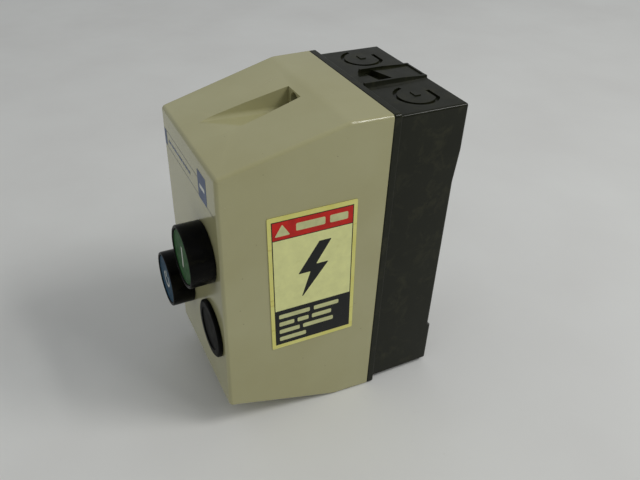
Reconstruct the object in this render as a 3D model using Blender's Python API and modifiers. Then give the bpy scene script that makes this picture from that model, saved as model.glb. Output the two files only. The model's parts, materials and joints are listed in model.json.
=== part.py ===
"""Enclosed magnetic motor starter: a moulded box and lid with a contactor and an overload relay inside.

Run it with blender --background --python part.py, or from Blender's text editor.
Blender's scene is in metres. Every size and place in this file is in millimetres, and MM converts them
where meshes are made. X is to the right seen from the front, Y to the back and Z up.
Places are measured from the middle of the parting plane between lid and box, at the bottom.
"""

from math import asin, cos, degrees, pi, radians, sin

import bmesh
import bpy
from mathutils import Vector

MM = 0.001

# Driving dimensions of the enclosure
WIDTH = 98.0
HEIGHT = 187.4
COVER_DEPTH = 90.7
BASE_DEPTH = 46.1
COVER_FLAT = 23.6
SLOPE_DROP = 17.9
SIDE_TAPER = 4.2
COVER_WALL = 2.8
COVER_ROUNDING = 2.0
BASE_WALL = 3.0
BASE_INSET = 2.3
LIP_DEPTH = 4.4
FOOT_STEP = 1.9
PARTING_GAP = 0.3
GAP = 0.3

# Operators in the lid
PANEL_HOLE_RADIUS = 11.3
BARREL_RADIUS = 11.0
BEZEL_RADIUS = 17.0
BEZEL_REACH = 13.5
START_PLACE = (21.8, 115.1)
RESET_PLACE = (-26.6, 65.0)
PLUG_PLACE = (23.2, 62.3)

# Screws that hold the lid
SCREW_INSET = 7.4
CHANNEL_REAR = -31.0
CHANNEL_FLOOR = 15.4
CHANNEL_SECTIONS = ((CHANNEL_REAR, 7.6), (-55.0, 9.9), (-90.0, 11.4))
CHANNEL_BLOCK_FRONT = -83.0
CHANNEL_BLOCK_HALF = 13.4
SCREW_SEAT = -24.0
HEAD_HOLE_RADIUS = 4.5
SHANK_HOLE_RADIUS = 2.4

# Raised frame, slot and knockouts on the box's two ends
FRAME_X = -1.7
RIB_INNER = 8.6
RIB_OUTER = 10.1
RIB_TOP = 0.1
RIB_REAR_TOP = 1.1
RIB_FOOT = 3.4
RIB_LEAN = 0.4
RIB_FALL = 28.0
LEFT_RIB_FRONT = 13.5
RIGHT_RIB_FRONT = 6.0
FRAME_BACK = 45.6
RAMP_FRONT = 20.0
SLOT_FRONT = 15.5
SLOT_BACK = 20.6
SLOT_FRONT_SLANT = 0.23
SLOT_BACK_SLANT = 0.34
KNOCKOUT_SPACING = 29.0
KNOCKOUT_Y = 26.2
GROOVE_OUTER = 12.4
GROOVE_INNER = 10.2
GROOVE_START = 195.0
GROOVE_CHORD = 10.3
GROOVE_END = -3.6
GROOVE_DEPTH = 1.4

# Contactor and overload relay
UNIT_X = -9.5
UNIT_HALF = 22.5
CONTACTOR_Z = 121.0
POLES = (UNIT_X - 14.0, UNIT_X, UNIT_X + 14.0)
TERMINAL_OFFSET = 29.0
RAIL_HALF_LENGTH = 39.0
RAIL_SCREW_X = 34.5
START_PLUNGER_TIP = -49.8
RESET_KEY_TIP = -48.4
START_BLOCK_LEFT = 13.4
START_BLOCK_RIGHT = 28.0
STOP_KEY_X = UNIT_X + 15.0
DIAL_Z = 51.0

# The overall depth is centred on the scene's origin.
PARTING_Y = (COVER_DEPTH + BEZEL_REACH - BASE_DEPTH) / 2

# Turns that carry a drawn outline into place
FLAT = (0.0, 0.0, 0.0)
FACE_FRONT = (pi / 2, 0.0, 0.0)
FACE_SIDE = (pi / 2, 0.0, pi / 2)

MATERIALS = {
    "beige_plastic": ((0.42, 0.40, 0.27, 1.0), 0.42, 0.0),
    "black_plastic": ((0.018, 0.019, 0.018, 1.0), 0.45, 0.0),
    "black_operator": ((0.012, 0.012, 0.012, 1.0), 0.35, 0.0),
    "green_cap": ((0.06, 0.20, 0.10, 1.0), 0.35, 0.0),
    "blue_cap": ((0.03, 0.12, 0.25, 1.0), 0.35, 0.0),
    "red_cap": ((0.45, 0.03, 0.02, 1.0), 0.35, 0.0),
    "grey_plastic": ((0.22, 0.22, 0.21, 1.0), 0.5, 0.0),
    "cream_plastic": ((0.55, 0.50, 0.38, 1.0), 0.5, 0.0),
    "rubber": ((0.02, 0.02, 0.02, 1.0), 0.8, 0.0),
    "zinc_steel": ((0.55, 0.55, 0.55, 1.0), 0.35, 1.0),
    "core_steel": ((0.25, 0.25, 0.26, 1.0), 0.5, 1.0),
    "copper": ((0.72, 0.36, 0.20, 1.0), 0.3, 1.0),
    "brass": ((0.70, 0.55, 0.25, 1.0), 0.3, 1.0),
    "label_print": ((0.50, 0.50, 0.32, 1.0), 0.5, 0.0),
}


# ---------------------------------------------------------------------------
# Scene, materials and objects
# ---------------------------------------------------------------------------

def clear_scene():
    for obj in list(bpy.data.objects):
        bpy.data.objects.remove(obj, do_unlink=True)


def new_collection(name):
    collection = bpy.data.collections.new(name)
    bpy.context.scene.collection.children.link(collection)
    return collection


def material(name):
    """The named material, made the first time that a piece asks for it."""
    if name in bpy.data.materials:
        return bpy.data.materials[name]
    colour, roughness, metallic = MATERIALS[name]
    made = bpy.data.materials.new(name)
    made.use_nodes = True
    shader = made.node_tree.nodes["Principled BSDF"]
    shader.inputs["Base Color"].default_value = colour
    shader.inputs["Roughness"].default_value = roughness
    shader.inputs["Metallic"].default_value = metallic
    made.diffuse_color = colour
    return made


def place(name, data, where, turn=FLAT, finish=None):
    """Puts data in the scene as a part, or as a hidden helper shape when it has no finish."""
    obj = bpy.data.objects.new(name, data)
    obj.location = Vector(where) * MM
    obj.rotation_euler = turn
    obj.parent = ORIGIN
    if finish is None:
        HELPERS.objects.link(obj)
        obj.hide_render = True
        obj.display_type = "WIRE"
    else:
        PARTS.objects.link(obj)
        data.materials.append(material(finish))
    return obj


# ---------------------------------------------------------------------------
# Shapes
# ---------------------------------------------------------------------------

def box(name, low, high, finish=None):
    """A box between two corners."""
    size = (Vector(high) - Vector(low)) * MM
    mesh = bpy.data.meshes.new(name)
    bm = bmesh.new()
    bmesh.ops.create_cube(bm, size=1.0)
    bmesh.ops.scale(bm, vec=size, verts=bm.verts)
    bm.to_mesh(mesh)
    bm.free()
    return place(name, mesh, (Vector(low) + Vector(high)) / 2, finish=finish)


def rod(name, x, z, radius, front, back, finish=None, sides=32):
    """A cylinder along Y from front to back."""
    mesh = bpy.data.meshes.new(name)
    bm = bmesh.new()
    bmesh.ops.create_cone(
        bm, cap_ends=True, segments=sides, radius1=radius * MM, radius2=radius * MM, depth=(back - front) * MM
    )
    bm.to_mesh(mesh)
    bm.free()
    return place(name, mesh, (x, (front + back) / 2, z), FACE_FRONT, finish)


def turned(name, x, y, z, profile, finish=None, steps=32, closed=False):
    """A turned piece on an axis along Y. The profile holds (radius, distance forward of y), front to back."""
    mesh = bpy.data.meshes.new(name)
    bm = bmesh.new()
    points = [bm.verts.new((radius * MM, 0.0, forward * MM)) for radius, forward in profile]
    for first, second in zip(points, points[1:]):
        bm.edges.new((first, second))
    if closed:
        bm.edges.new((points[-1], points[0]))
    bm.to_mesh(mesh)
    bm.free()
    obj = place(name, mesh, (x, y, z), FACE_FRONT, finish)
    screw = obj.modifiers.new("turn", "SCREW")
    screw.axis = "Z"
    screw.steps = steps
    screw.render_steps = steps
    screw.use_merge_vertices = True
    screw.merge_threshold = 0.00001
    return obj


def as_mesh(curve_object, finish):
    """Replaces a filled curve by a mesh with welded caps and flat faces in one piece each."""
    bpy.context.view_layer.update()
    graph = bpy.context.evaluated_depsgraph_get()
    mesh = bpy.data.meshes.new_from_object(curve_object.evaluated_get(graph))
    mesh.name = curve_object.name
    bm = bmesh.new()
    bm.from_mesh(mesh)
    bmesh.ops.remove_doubles(bm, verts=bm.verts, dist=0.000001)
    bmesh.ops.dissolve_limit(bm, angle_limit=radians(0.5), verts=bm.verts, edges=bm.edges)
    bmesh.ops.recalc_face_normals(bm, faces=bm.faces)
    bm.to_mesh(mesh)
    bm.free()
    name = curve_object.name
    where = curve_object.location / MM
    turn = tuple(curve_object.rotation_euler)
    curve = curve_object.data
    bpy.data.objects.remove(curve_object, do_unlink=True)
    bpy.data.curves.remove(curve)
    mesh.materials.clear()
    return place(name, mesh, where, turn, finish)


def outline(name, loops, thickness, where, turn, finish=None):
    """A flat outline, with holes where a loop lies inside another, thickened about its plane."""
    curve = bpy.data.curves.new(name, "CURVE")
    curve.dimensions = "2D"
    curve.fill_mode = "BOTH"
    curve.extrude = thickness / 2 * MM
    for loop in loops:
        spline = curve.splines.new("POLY")
        spline.points.add(len(loop) - 1)
        for point, (u, v) in zip(spline.points, loop):
            point.co = (u * MM, v * MM, 0.0, 1.0)
        spline.use_cyclic_u = True
    return as_mesh(place(name, curve, where, turn), finish)


def side_outline(name, points, x_low, x_high, finish=None, z=0.0):
    """An outline drawn as (y, z) and thickened from x_low to x_high."""
    middle = ((x_low + x_high) / 2, 0.0, z)
    return outline(name, [points], x_high - x_low, middle, FACE_SIDE, finish)


def front_outline(name, loops, x, z, front, back, finish=None):
    """Outlines drawn as (x, z) about a middle point and thickened from front to back."""
    return outline(name, loops, back - front, (x, (front + back) / 2, z), FACE_FRONT, finish)


def arc(radius, start, stop, steps, centre=(0.0, 0.0)):
    """Points along an arc, angles in degrees."""
    angles = [radians(start + (stop - start) * step / steps) for step in range(steps + 1)]
    return [(centre[0] + radius * cos(angle), centre[1] + radius * sin(angle)) for angle in angles]


def circle(radius, sides=32):
    return arc(radius, 0.0, 360.0, sides)[:-1]


def rounded_rectangle(half_width, half_height, radius, steps=4):
    """A rectangle about the origin with round corners."""
    points = []
    for quarter, (side, end) in enumerate(((1, 1), (-1, 1), (-1, -1), (1, -1))):
        corner = (side * (half_width - radius), end * (half_height - radius))
        points += arc(radius, 90.0 * quarter, 90.0 * quarter + 90.0, steps, corner)
    return points


def coil(name, x, z, radius, wire, front, back, turns, finish):
    """A helical spring along Y between front and back, measured to the wire's middle."""
    curve = bpy.data.curves.new(name, "CURVE")
    curve.dimensions = "3D"
    curve.bevel_depth = wire * MM
    curve.bevel_resolution = 1
    curve.use_fill_caps = True
    spline = curve.splines.new("POLY")
    count = turns * 10
    spline.points.add(count)
    for index, point in enumerate(spline.points):
        angle = 2 * pi * index / 10
        along = (back - front) * (index / count - 0.5)
        point.co = (radius * cos(angle) * MM, radius * sin(angle) * MM, -along * MM, 1.0)
    obj = place(name, curve, (x, (front + back) / 2, z), FACE_FRONT)
    return as_mesh(obj, finish)


# ---------------------------------------------------------------------------
# Modifiers
# ---------------------------------------------------------------------------

def bevel(obj, width, segments=2, angle=30.0):
    made = obj.modifiers.new("rounded edges", "BEVEL")
    made.width = width * MM
    made.segments = segments
    made.limit_method = "ANGLE"
    made.angle_limit = radians(angle)
    return obj


def solidify(obj, thickness):
    made = obj.modifiers.new("wall", "SOLIDIFY")
    made.thickness = thickness * MM
    made.offset = -1.0
    made.use_even_offset = True
    return obj


def boolean(obj, others, operation):
    for other in others:
        made = obj.modifiers.new(other.name, "BOOLEAN")
        made.operation = operation
        made.solver = "EXACT"
        made.object = other
    return obj


def cut(obj, *cutters):
    return boolean(obj, cutters, "DIFFERENCE")


def join(obj, *others):
    return boolean(obj, others, "UNION")


def remove_faces(obj, facing):
    """Opens a solid by removing the faces whose local normal points along facing."""
    bm = bmesh.new()
    bm.from_mesh(obj.data)
    faces = [face for face in bm.faces if face.normal.dot(Vector(facing)) > 0.99]
    bmesh.ops.delete(bm, geom=faces, context="FACES")
    bm.to_mesh(obj.data)
    bm.free()


# ---------------------------------------------------------------------------
# Enclosure
# ---------------------------------------------------------------------------

def slope_inset(y):
    """How far the lid's sloping top lies below the overall height at depth y."""
    return max(0.0, (-y - COVER_FLAT) * SLOPE_DROP / (COVER_DEPTH - COVER_FLAT))


def level(inset, end):
    """The height of something that lies inset from the top (end 1) or from the bottom (end -1)."""
    return HEIGHT - inset if end > 0 else inset


def ends():
    return (("top", 1), ("bottom", -1))


def cover_shell():
    """The lid's outer skin: an extruded side outline whose sides close in towards the front, open at the back."""
    back = -PARTING_GAP
    points = [
        (back, 0.0),
        (-COVER_FLAT, 0.0),
        (-COVER_DEPTH, SLOPE_DROP),
        (-COVER_DEPTH, HEIGHT - SLOPE_DROP),
        (-COVER_FLAT, HEIGHT),
        (back, HEIGHT),
    ]
    shell = side_outline("cover", points, -WIDTH / 2, WIDTH / 2, "beige_plastic")
    remove_faces(shell, (1.0, 0.0, 0.0))
    for vertex in shell.data.vertices:
        vertex.co.z *= 1.0 + vertex.co.x / (COVER_DEPTH * MM) * SIDE_TAPER / (WIDTH / 2)
    bevel(shell, COVER_ROUNDING, 3, 10.0)
    return solidify(shell, COVER_WALL)


def screw_channel(shell, name, end):
    """A screwdriver channel cut level into the slope, with the screw's hole in its rear wall."""
    rear = CHANNEL_REAR + COVER_WALL
    under = level(CHANNEL_FLOOR + COVER_WALL, end)
    points = [
        (rear, level(slope_inset(rear) + 0.8, end)),
        (rear, under),
        (CHANNEL_BLOCK_FRONT, under),
        (CHANNEL_BLOCK_FRONT, level(slope_inset(CHANNEL_BLOCK_FRONT) + 0.8, end)),
    ]
    block = side_outline(f"channel block {name}", points, -CHANNEL_BLOCK_HALF, CHANNEL_BLOCK_HALF)
    boss = rod(f"screw boss {name}", 0.0, level(SCREW_INSET, end), 6.0, CHANNEL_REAR + 2.0, -0.6)
    plan = [(half, y) for y, half in CHANNEL_SECTIONS]
    plan += [(-x, y) for x, y in reversed(plan)]
    middle = (level(CHANNEL_FLOOR, end) + level(-6.0, end)) / 2
    channel = outline(f"channel {name}", [plan], CHANNEL_FLOOR + 6.0, (0.0, 0.0, middle), FLAT)
    bevel(channel, 1.8, 2)
    z = level(SCREW_INSET, end)
    head_hole = rod(f"head hole {name}", 0.0, z, HEAD_HOLE_RADIUS, CHANNEL_REAR - 0.5, SCREW_SEAT, sides=24)
    shank_hole = rod(f"shank hole {name}", 0.0, z, SHANK_HOLE_RADIUS, SCREW_SEAT - 0.5, 1.0, sides=24)
    join(shell, block, boss)
    cut(shell, channel, head_hole, shank_hole)


def make_cover():
    shell = cover_shell()
    for name, end in ends():
        screw_channel(shell, name, end)
    for x, z in (START_PLACE, RESET_PLACE, PLUG_PLACE):
        cut(shell, rod("panel hole", x, z, PANEL_HOLE_RADIUS, -COVER_DEPTH - 4.0, -COVER_DEPTH + 8.0))


def make_cover_screws():
    for name, end in ends():
        seat = GAP - SCREW_SEAT
        front = seat + 3.8
        head = [(0.0, front), (3.0, front), (3.8, front - 0.6), (3.8, seat), (2.0, seat), (2.0, -12.0), (0.0, -13.0)]
        screw = turned(f"cover_screw_{name}", 0.0, 0.0, level(SCREW_INSET, end), head, "zinc_steel", 20)
        slot = box("driver slot", (-4.0, -front - 1.0, -0.5), (4.0, 1.2 - front, 0.5))
        slot.location.z = level(SCREW_INSET, end) * MM
        cut(screw, slot)


def rim_outline(inset):
    """The rim's outline, drawn in by inset from the lip's edge."""
    return rounded_rectangle(WIDTH / 2 - inset, HEIGHT / 2 - inset, max(COVER_ROUNDING - inset, 0.8), 3)


def rim_ring(name, outer_inset, inner_inset, front, back, finish=None):
    """A frame that follows the rim, between two distances in from the lip's edge."""
    loops = [rim_outline(outer_inset), rim_outline(inner_inset)]
    return front_outline(name, loops, 0.0, HEIGHT / 2, front, back, finish)


def tray_outline(name, wall, front, finish=None):
    """The tray's side outline drawn in by wall: straight walls and a foot along each end of the back."""
    foot = BASE_DEPTH - wall
    hollow = foot - FOOT_STEP
    low = BASE_INSET + wall
    high = HEIGHT - BASE_INSET - wall
    points = [
        (front, low),
        (foot, low),
        (foot, 31.8),
        (hollow, 34.2),
        (hollow, 139.0),
        (foot, 158.8),
        (foot, high),
        (front, high),
    ]
    half = WIDTH / 2 - BASE_INSET - wall
    return side_outline(name, points, -half, half, finish)


def knockout_groove(x, name, end):
    """A C-shaped groove round a knockout: most of a circle, closed by a straight stretch towards the back."""
    inner_chord = GROOVE_CHORD - GROOVE_OUTER + GROOVE_INNER
    outer_stop = 360.0 + degrees(asin(GROOVE_CHORD / GROOVE_OUTER))
    inner_stop = 360.0 + degrees(asin(inner_chord / GROOVE_INNER))
    band = arc(GROOVE_OUTER, GROOVE_START, outer_stop, 18)
    band += [(GROOVE_END, GROOVE_CHORD), (GROOVE_END, inner_chord)]
    band += arc(GROOVE_INNER, inner_stop, GROOVE_START, 18)
    where = (x, KNOCKOUT_Y, level(BASE_INSET, end))
    return outline(f"knockout {name}", [band], 2 * GROOVE_DEPTH, where, FLAT)


def rib(name, end, side, front):
    """A rib whose top falls towards the back and whose outer side leans outwards to its foot."""
    points = [
        (front, level(RIB_FOOT, end)),
        (front, level(RIB_TOP, end)),
        (RIB_FALL, level(RIB_TOP, end)),
        (FRAME_BACK, level(RIB_REAR_TOP, end)),
        (FRAME_BACK, level(RIB_FOOT, end)),
    ]
    sides = sorted((FRAME_X + side * RIB_INNER, FRAME_X + side * RIB_OUTER))
    made = side_outline(f"rib {name}", points, sides[0], sides[1])
    for vertex in made.data.vertices:
        drop = abs(vertex.co.y - level(RIB_TOP, end) * MM)
        if vertex.co.z * side > 0.0:
            vertex.co.z += side * drop * RIB_LEAN
    return made


def raised_frame(box_body, name, end):
    """Two ribs with a lower plate between them. The right rib starts behind the lip, the left one at the slot."""
    join(box_body, rib(name, end, -1, LEFT_RIB_FRONT), rib(name, end, 1, RIGHT_RIB_FRONT))
    points = [
        (RAMP_FRONT, level(3.6, end)),
        (RAMP_FRONT, level(1.1, end)),
        (FRAME_BACK - 1.4, level(1.8, end)),
        (FRAME_BACK - 1.2, level(1.2, end)),
        (FRAME_BACK - 0.1, level(1.2, end)),
        (FRAME_BACK - 0.1, level(3.6, end)),
    ]
    join(box_body, side_outline(f"ramp {name}", points, FRAME_X - RIB_INNER - 0.3, FRAME_X + RIB_INNER + 0.3))


def slot(name, end):
    """The slanting slot before the plate."""
    half = RIB_INNER - 0.2
    points = [
        (-half, SLOT_FRONT),
        (half, SLOT_FRONT + 2 * half * SLOT_FRONT_SLANT),
        (half, SLOT_BACK + 2 * half * SLOT_BACK_SLANT),
        (-half, SLOT_BACK),
    ]
    middle = (level(BASE_INSET + 2.1, end) + level(-1.0, end)) / 2
    return outline(f"slot {name}", [points], BASE_INSET + 3.1, (FRAME_X, 0.0, middle), FLAT)


def end_marks(box_body, name, end):
    """The slot before the plate, and the groove and the raised pip that mark each of two knockouts."""
    cut(box_body, slot(name, end))
    pip_faces = sorted((level(BASE_INSET + 0.7, end), level(BASE_INSET - 0.5, end)))
    for x in (FRAME_X - KNOCKOUT_SPACING, FRAME_X + KNOCKOUT_SPACING):
        cut(box_body, knockout_groove(x, name, end))
        low = (x - 4.0, KNOCKOUT_Y - 1.4, pip_faces[0])
        join(box_body, box("pip", low, (x + 1.2, KNOCKOUT_Y + 2.2, pip_faces[1])))


def make_base_box():
    """The tray: a solid with its lip and raised frames, then hollowed, with posts and bosses for the screws."""
    tray = tray_outline("base_box", 0.0, 1.0, "black_plastic")
    bevel(tray, 1.5, 2, 60.0)
    lip = front_outline("lip", [rim_outline(0.0)], 0.0, HEIGHT / 2, 0.0, LIP_DEPTH)
    bevel(lip, 0.6, 2)
    join(tray, lip)
    for name, end in ends():
        raised_frame(tray, name, end)
    cut(tray, tray_outline("tray space", BASE_WALL, -2.0))
    for name, end in ends():
        join(tray, rod(f"screw post {name}", 0.0, level(SCREW_INSET, end), 4.6, 3.2, 20.0, sides=20))
        cut(tray, rod(f"thread {name}", 0.0, level(SCREW_INSET, end), 2.3, 1.0, 16.0, sides=16))
        end_marks(tray, name, end)
    bosses = [(-RAIL_SCREW_X, CONTACTOR_Z, 39.2), (RAIL_SCREW_X, CONTACTOR_Z, 39.2), (-36.0, 46.0, 34.0)]
    for x, z, front in bosses:
        join(tray, rod("boss", x, z, 4.5, front, 42.0, sides=16))
        cut(tray, rod("boss hole", x, z, 1.9, front - 2.0, 43.2, sides=12))
    for x in (-RAIL_SCREW_X, RAIL_SCREW_X):
        for z in (14.0, 173.0):
            cut(tray, rod("wall screw hole", x, z, 2.75, 38.0, 50.0, sides=20))
    cut(tray, rim_ring("gasket groove", 0.9, 3.1, -1.0, 2.3))


def make_gasket():
    rim_ring("cover_gasket", 1.2, 2.8, 0.0, 2.0, "rubber")


def make_side_label():
    """The label lies on the tapered side, a little tilted."""
    lean = SIDE_TAPER / COVER_DEPTH
    middle_y = -40.6
    middle_x = WIDTH / 2 + middle_y * lean + 0.1 + 0.15
    outline(
        "side_label",
        [rounded_rectangle(24.7, 44.4, 0.8, 3)],
        0.3,
        (middle_x, middle_y, 99.4),
        (pi / 2, radians(-1.5), pi / 2 - lean),
        "label_print",
    )


def make_rail():
    """A 35 mm top-hat rail with its two screws, and the earth screw."""
    outer = [(31.4, 17.5), (32.4, 17.5), (32.4, 13.5), (38.9, 13.5)]
    inner = [(37.9, 12.5), (31.4, 12.5)]
    points = outer + [(y, -z) for y, z in reversed(outer)] + [(y, -z) for y, z in reversed(inner)] + inner
    rail = side_outline("mounting_rail", points, -RAIL_HALF_LENGTH, RAIL_HALF_LENGTH, "zinc_steel", CONTACTOR_Z)
    for name, x in (("left", -RAIL_SCREW_X), ("right", RAIL_SCREW_X)):
        cut(rail, rod("rail hole", x, CONTACTOR_Z, 2.0, 36.0, 40.0, sides=16))
        head = [(0.0, -35.0), (2.4, -35.0), (3.4, -36.0), (3.4, -37.6), (1.6, -37.6), (1.6, -42.8), (0.0, -42.8)]
        screw = turned(f"rail_screw_{name}", x, 0.0, CONTACTOR_Z, head, "zinc_steel", 12)
        cut(screw, box("driver slot", (x - 4.0, 34.0, 120.6), (x + 4.0, 35.9, 121.4)))
    head = [(0.0, -28.0), (3.2, -28.0), (3.9, -28.6), (3.9, -32.0), (5.0, -32.0), (5.0, -33.7), (1.6, -33.7)]
    earth = turned("earth_terminal", -36.0, 0.0, 46.0, head + [(1.6, -39.6), (0.0, -39.6)], "brass", 20)
    cut(earth, box("driver slot", (-40.5, 27.0, 45.6), (-31.5, 29.0, 46.4)))


# ---------------------------------------------------------------------------
# Operators
# ---------------------------------------------------------------------------

def ring_nut(name, x, z):
    front = -COVER_DEPTH + COVER_WALL + GAP
    hexagon = arc(15.0, 30.0, 330.0, 5)
    front_outline(name, [hexagon, circle(PANEL_HOLE_RADIUS, 24)], x, z, front, front + 5.0, "grey_plastic")


def panel_seal(name, x, z, thickness):
    section = [(14.6, GAP + thickness), (14.6, GAP), (11.4, GAP), (11.4, GAP + thickness)]
    turned(name, x, -COVER_DEPTH, z, section, "rubber", 24, closed=True)


def make_operator(prefix, where, cap_finish, rod_end):
    """A round push button: bezel with barrel, cap with stem, spring, actuating rod, nut and seal."""
    x, z = where
    face = -COVER_DEPTH
    bezel = [
        (16.2, BEZEL_REACH),
        (BEZEL_RADIUS, BEZEL_REACH - 0.8),
        (BEZEL_RADIUS, GAP),
        (15.0, GAP),
        (15.0, 1.8),
        (BARREL_RADIUS, 1.8),
        (BARREL_RADIUS, -20.0),
        (5.0, -20.0),
        (5.0, -12.0),
        (8.6, -12.0),
        (8.6, 3.0),
        (15.3, 3.0),
        (15.3, BEZEL_REACH - 0.4),
        (15.6, BEZEL_REACH),
    ]
    turned(f"{prefix}_bezel", x, face, z, bezel, "black_operator", closed=True)
    cap = [
        (0.0, 13.0),
        (14.2, 13.0),
        (15.0, 12.3),
        (15.0, 8.2),
        (4.6, 8.2),
        (4.6, -22.0),
        (2.9, -22.0),
        (2.9, -16.0),
        (0.0, -16.0),
    ]
    turned(f"{prefix}_button", x, face, z, cap, cap_finish)
    rod_back = face - rod_end + GAP
    stem = [(0.0, -16.3), (2.6, -16.3), (2.6, -22.3), (4.0, -22.3), (4.0, rod_back), (0.0, rod_back)]
    turned(f"{prefix}_rod", x, face, z, stem, "grey_plastic", 16)
    coil(f"{prefix}_spring", x, z, 6.8, 0.5, face - 7.3, face + 11.0, 5, "zinc_steel")
    ring_nut(f"{prefix}_nut", x, z)
    panel_seal(f"{prefix}_seal", x, z, 1.2)


def make_blanking_plug():
    x, z = PLUG_PLACE
    section = [
        (0.0, 2.0),
        (12.6, 2.0),
        (13.0, 2.6),
        (16.2, 2.6),
        (BEZEL_RADIUS, 1.9),
        (BEZEL_RADIUS, GAP),
        (15.0, GAP),
        (15.0, 1.3),
        (BARREL_RADIUS, 1.3),
        (BARREL_RADIUS, -12.0),
        (9.0, -12.0),
        (9.0, -0.8),
        (0.0, -0.8),
    ]
    turned("blanking_plug", x, -COVER_DEPTH, z, section, "black_operator")
    ring_nut("plug_nut", x, z)
    panel_seal("plug_seal", x, z, 0.7)


# ---------------------------------------------------------------------------
# Contactor
# ---------------------------------------------------------------------------

def unit_box(name, half_x, low, high, finish=None, x=UNIT_X):
    """A box centred on x. low and high hold (y, z), with z measured from the contactor's middle."""
    return box(
        name,
        (x - half_x, low[0], CONTACTOR_Z + low[1]),
        (x + half_x, high[0], CONTACTOR_Z + high[1]),
        finish,
    )


def make_contactor_base():
    tray = unit_box("contactor_base", UNIT_HALF, (2.0, -37.0), (31.1, 37.0), "black_plastic")
    cut(tray, unit_box("tray hollow", 20.0, (-1.0, -34.5), (28.6, 34.5)))
    hook = [(30.8, 17.9), (30.8, 20.9), (34.4, 20.9), (34.4, 15.9), (32.8, 15.9), (32.8, 17.9)]
    for name, end in ends():
        points = [(y, end * z) for y, z in hook]
        join(tray, side_outline(f"rail hook {name}", points, UNIT_X - 12.0, UNIT_X + 12.0, z=CONTACTOR_Z))


def make_magnet():
    """An E-shaped core, the coil on its middle leg, and the armature that it pulls."""
    core = [(28.3, 26.0), (6.3, 26.0), (6.3, 20.0), (20.3, 20.0), (20.3, 6.0), (6.3, 6.0)]
    core += [(y, -z) for y, z in reversed(core)]
    side_outline("magnet_core", core, UNIT_X - 8.0, UNIT_X + 8.0, "core_steel", CONTACTOR_Z)
    spool = unit_box("coil_bobbin", 19.4, (6.6, -19.6), (20.0, 19.6), "cream_plastic")
    around = [rounded_rectangle(24.0, 24.0, 1.0, 1), rounded_rectangle(9.4, 7.4, 0.5, 1)]
    cut(spool, front_outline("winding space", around, UNIT_X, CONTACTOR_Z, 8.1, 18.5))
    cut(spool, unit_box("leg space", 8.3, (0.0, -6.3), (30.0, 6.3)))
    winding = [rounded_rectangle(18.8, 19.0, 4.0, 3), rounded_rectangle(9.8, 7.8, 0.8, 1)]
    front_outline("coil_winding", winding, UNIT_X, CONTACTOR_Z, 8.4, 18.2, "copper")
    armature = [(1.5, 26.0), (1.5, 20.0), (-2.5, 20.0), (-2.5, 6.0), (1.5, 6.0)]
    armature = [(-9.5, 26.0)] + armature + [(y, -z) for y, z in reversed(armature)] + [(-9.5, -26.0)]
    side_outline("armature", armature, UNIT_X - 8.0, UNIT_X + 8.0, "core_steel", CONTACTOR_Z)
    coil("return_spring", UNIT_X, CONTACTOR_Z, 11.8, 0.5, -1.6, 5.7, 3, "zinc_steel")


def make_contact_carrier():
    """The moving crossbar with a window for each contact bridge and a tab that shows in the front cover."""
    bar = unit_box("contact_carrier", 18.6, (-37.0, -6.0), (-9.8, 6.0), "cream_plastic")
    join(bar, unit_box("indicator", 5.0, (-43.5, -2.0), (-36.5, 2.0)))
    for number, x in enumerate(POLES, 1):
        cut(bar, unit_box("window", 3.6, (-30.0, -8.0), (-24.0, 8.0), x=x))
        bridge = unit_box(f"contact_bridge_{number}", 3.0, (-25.6, -14.0), (-24.4, 14.0), "copper", x)
        for end in (-1, 1):
            z_range = sorted((end * 9.7, end * 13.5))
            join(bridge, unit_box("tip", 2.5, (-24.6, z_range[0]), (-23.3, z_range[1]), x=x))


def make_contactor_housing():
    """The front half: a tower over the contacts between two terminal shelves, with a pocket for each terminal."""
    profile = [(1.7, 37.0), (-27.0, 37.0), (-27.0, 22.0), (-44.0, 22.0)]
    profile += [(y, -z) for y, z in reversed(profile)]
    left, right = UNIT_X - UNIT_HALF, UNIT_X + UNIT_HALF
    housing = side_outline("contactor_housing", profile, left, right, "black_plastic", CONTACTOR_Z)
    cut(housing, unit_box("contact chamber", 19.5, (-50.0, -16.5), (5.0, 16.5)))
    cut(housing, unit_box("armature space", 9.0, (-11.5, -27.5), (5.0, 27.5)))
    for x in POLES:
        for end in (-1, 1):
            pocket = sorted((end * 20.0, end * 40.0))
            slot = sorted((end * 15.0, end * 21.0))
            cut(housing, unit_box("terminal pocket", 5.5, (-30.0, pocket[0]), (-13.0, pocket[1]), x=x))
            cut(housing, unit_box("terminal slot", 4.4, (-18.1, slot[0]), (-15.7, slot[1]), x=x))
    plate = unit_box("contactor_cover", 22.2, (-47.0, -21.7), (-44.3, 21.7), "black_plastic")
    bevel(plate, 0.8, 1)
    cut(plate, unit_box("indicator window", 6.0, (-49.0, -3.0), (-42.0, 3.0)))


def make_terminals():
    for group, end in (("line", 1), ("load", -1)):
        for number, x in enumerate(POLES, 1):
            strip_z = sorted((end * 9.5, end * 36.0))
            tip_z = sorted((end * 9.7, end * 13.5))
            screw_z = CONTACTOR_Z + end * TERMINAL_OFFSET
            strip = unit_box(f"{group}_terminal_{number}", 4.0, (-17.5, strip_z[0]), (-16.0, strip_z[1]), "copper", x)
            join(strip, unit_box("fixed tip", 2.5, (-18.5, tip_z[0]), (-17.2, tip_z[1]), x=x))
            cut(strip, rod("screw hole", x, screw_z, 2.4, -20.0, -14.0, sides=16))
            head = [(0.0, 22.4), (2.8, 22.4), (3.6, 21.6), (3.6, 19.1), (2.0, 19.1), (2.0, 13.4), (0.0, 13.4)]
            screw = turned(f"{group}_screw_{number}", x, 0.0, screw_z, head, "zinc_steel", 12)
            cut(screw, box("driver slot", (x - 4.0, -23.0, screw_z - 0.5), (x + 4.0, -21.4, screw_z + 0.5)))


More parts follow.
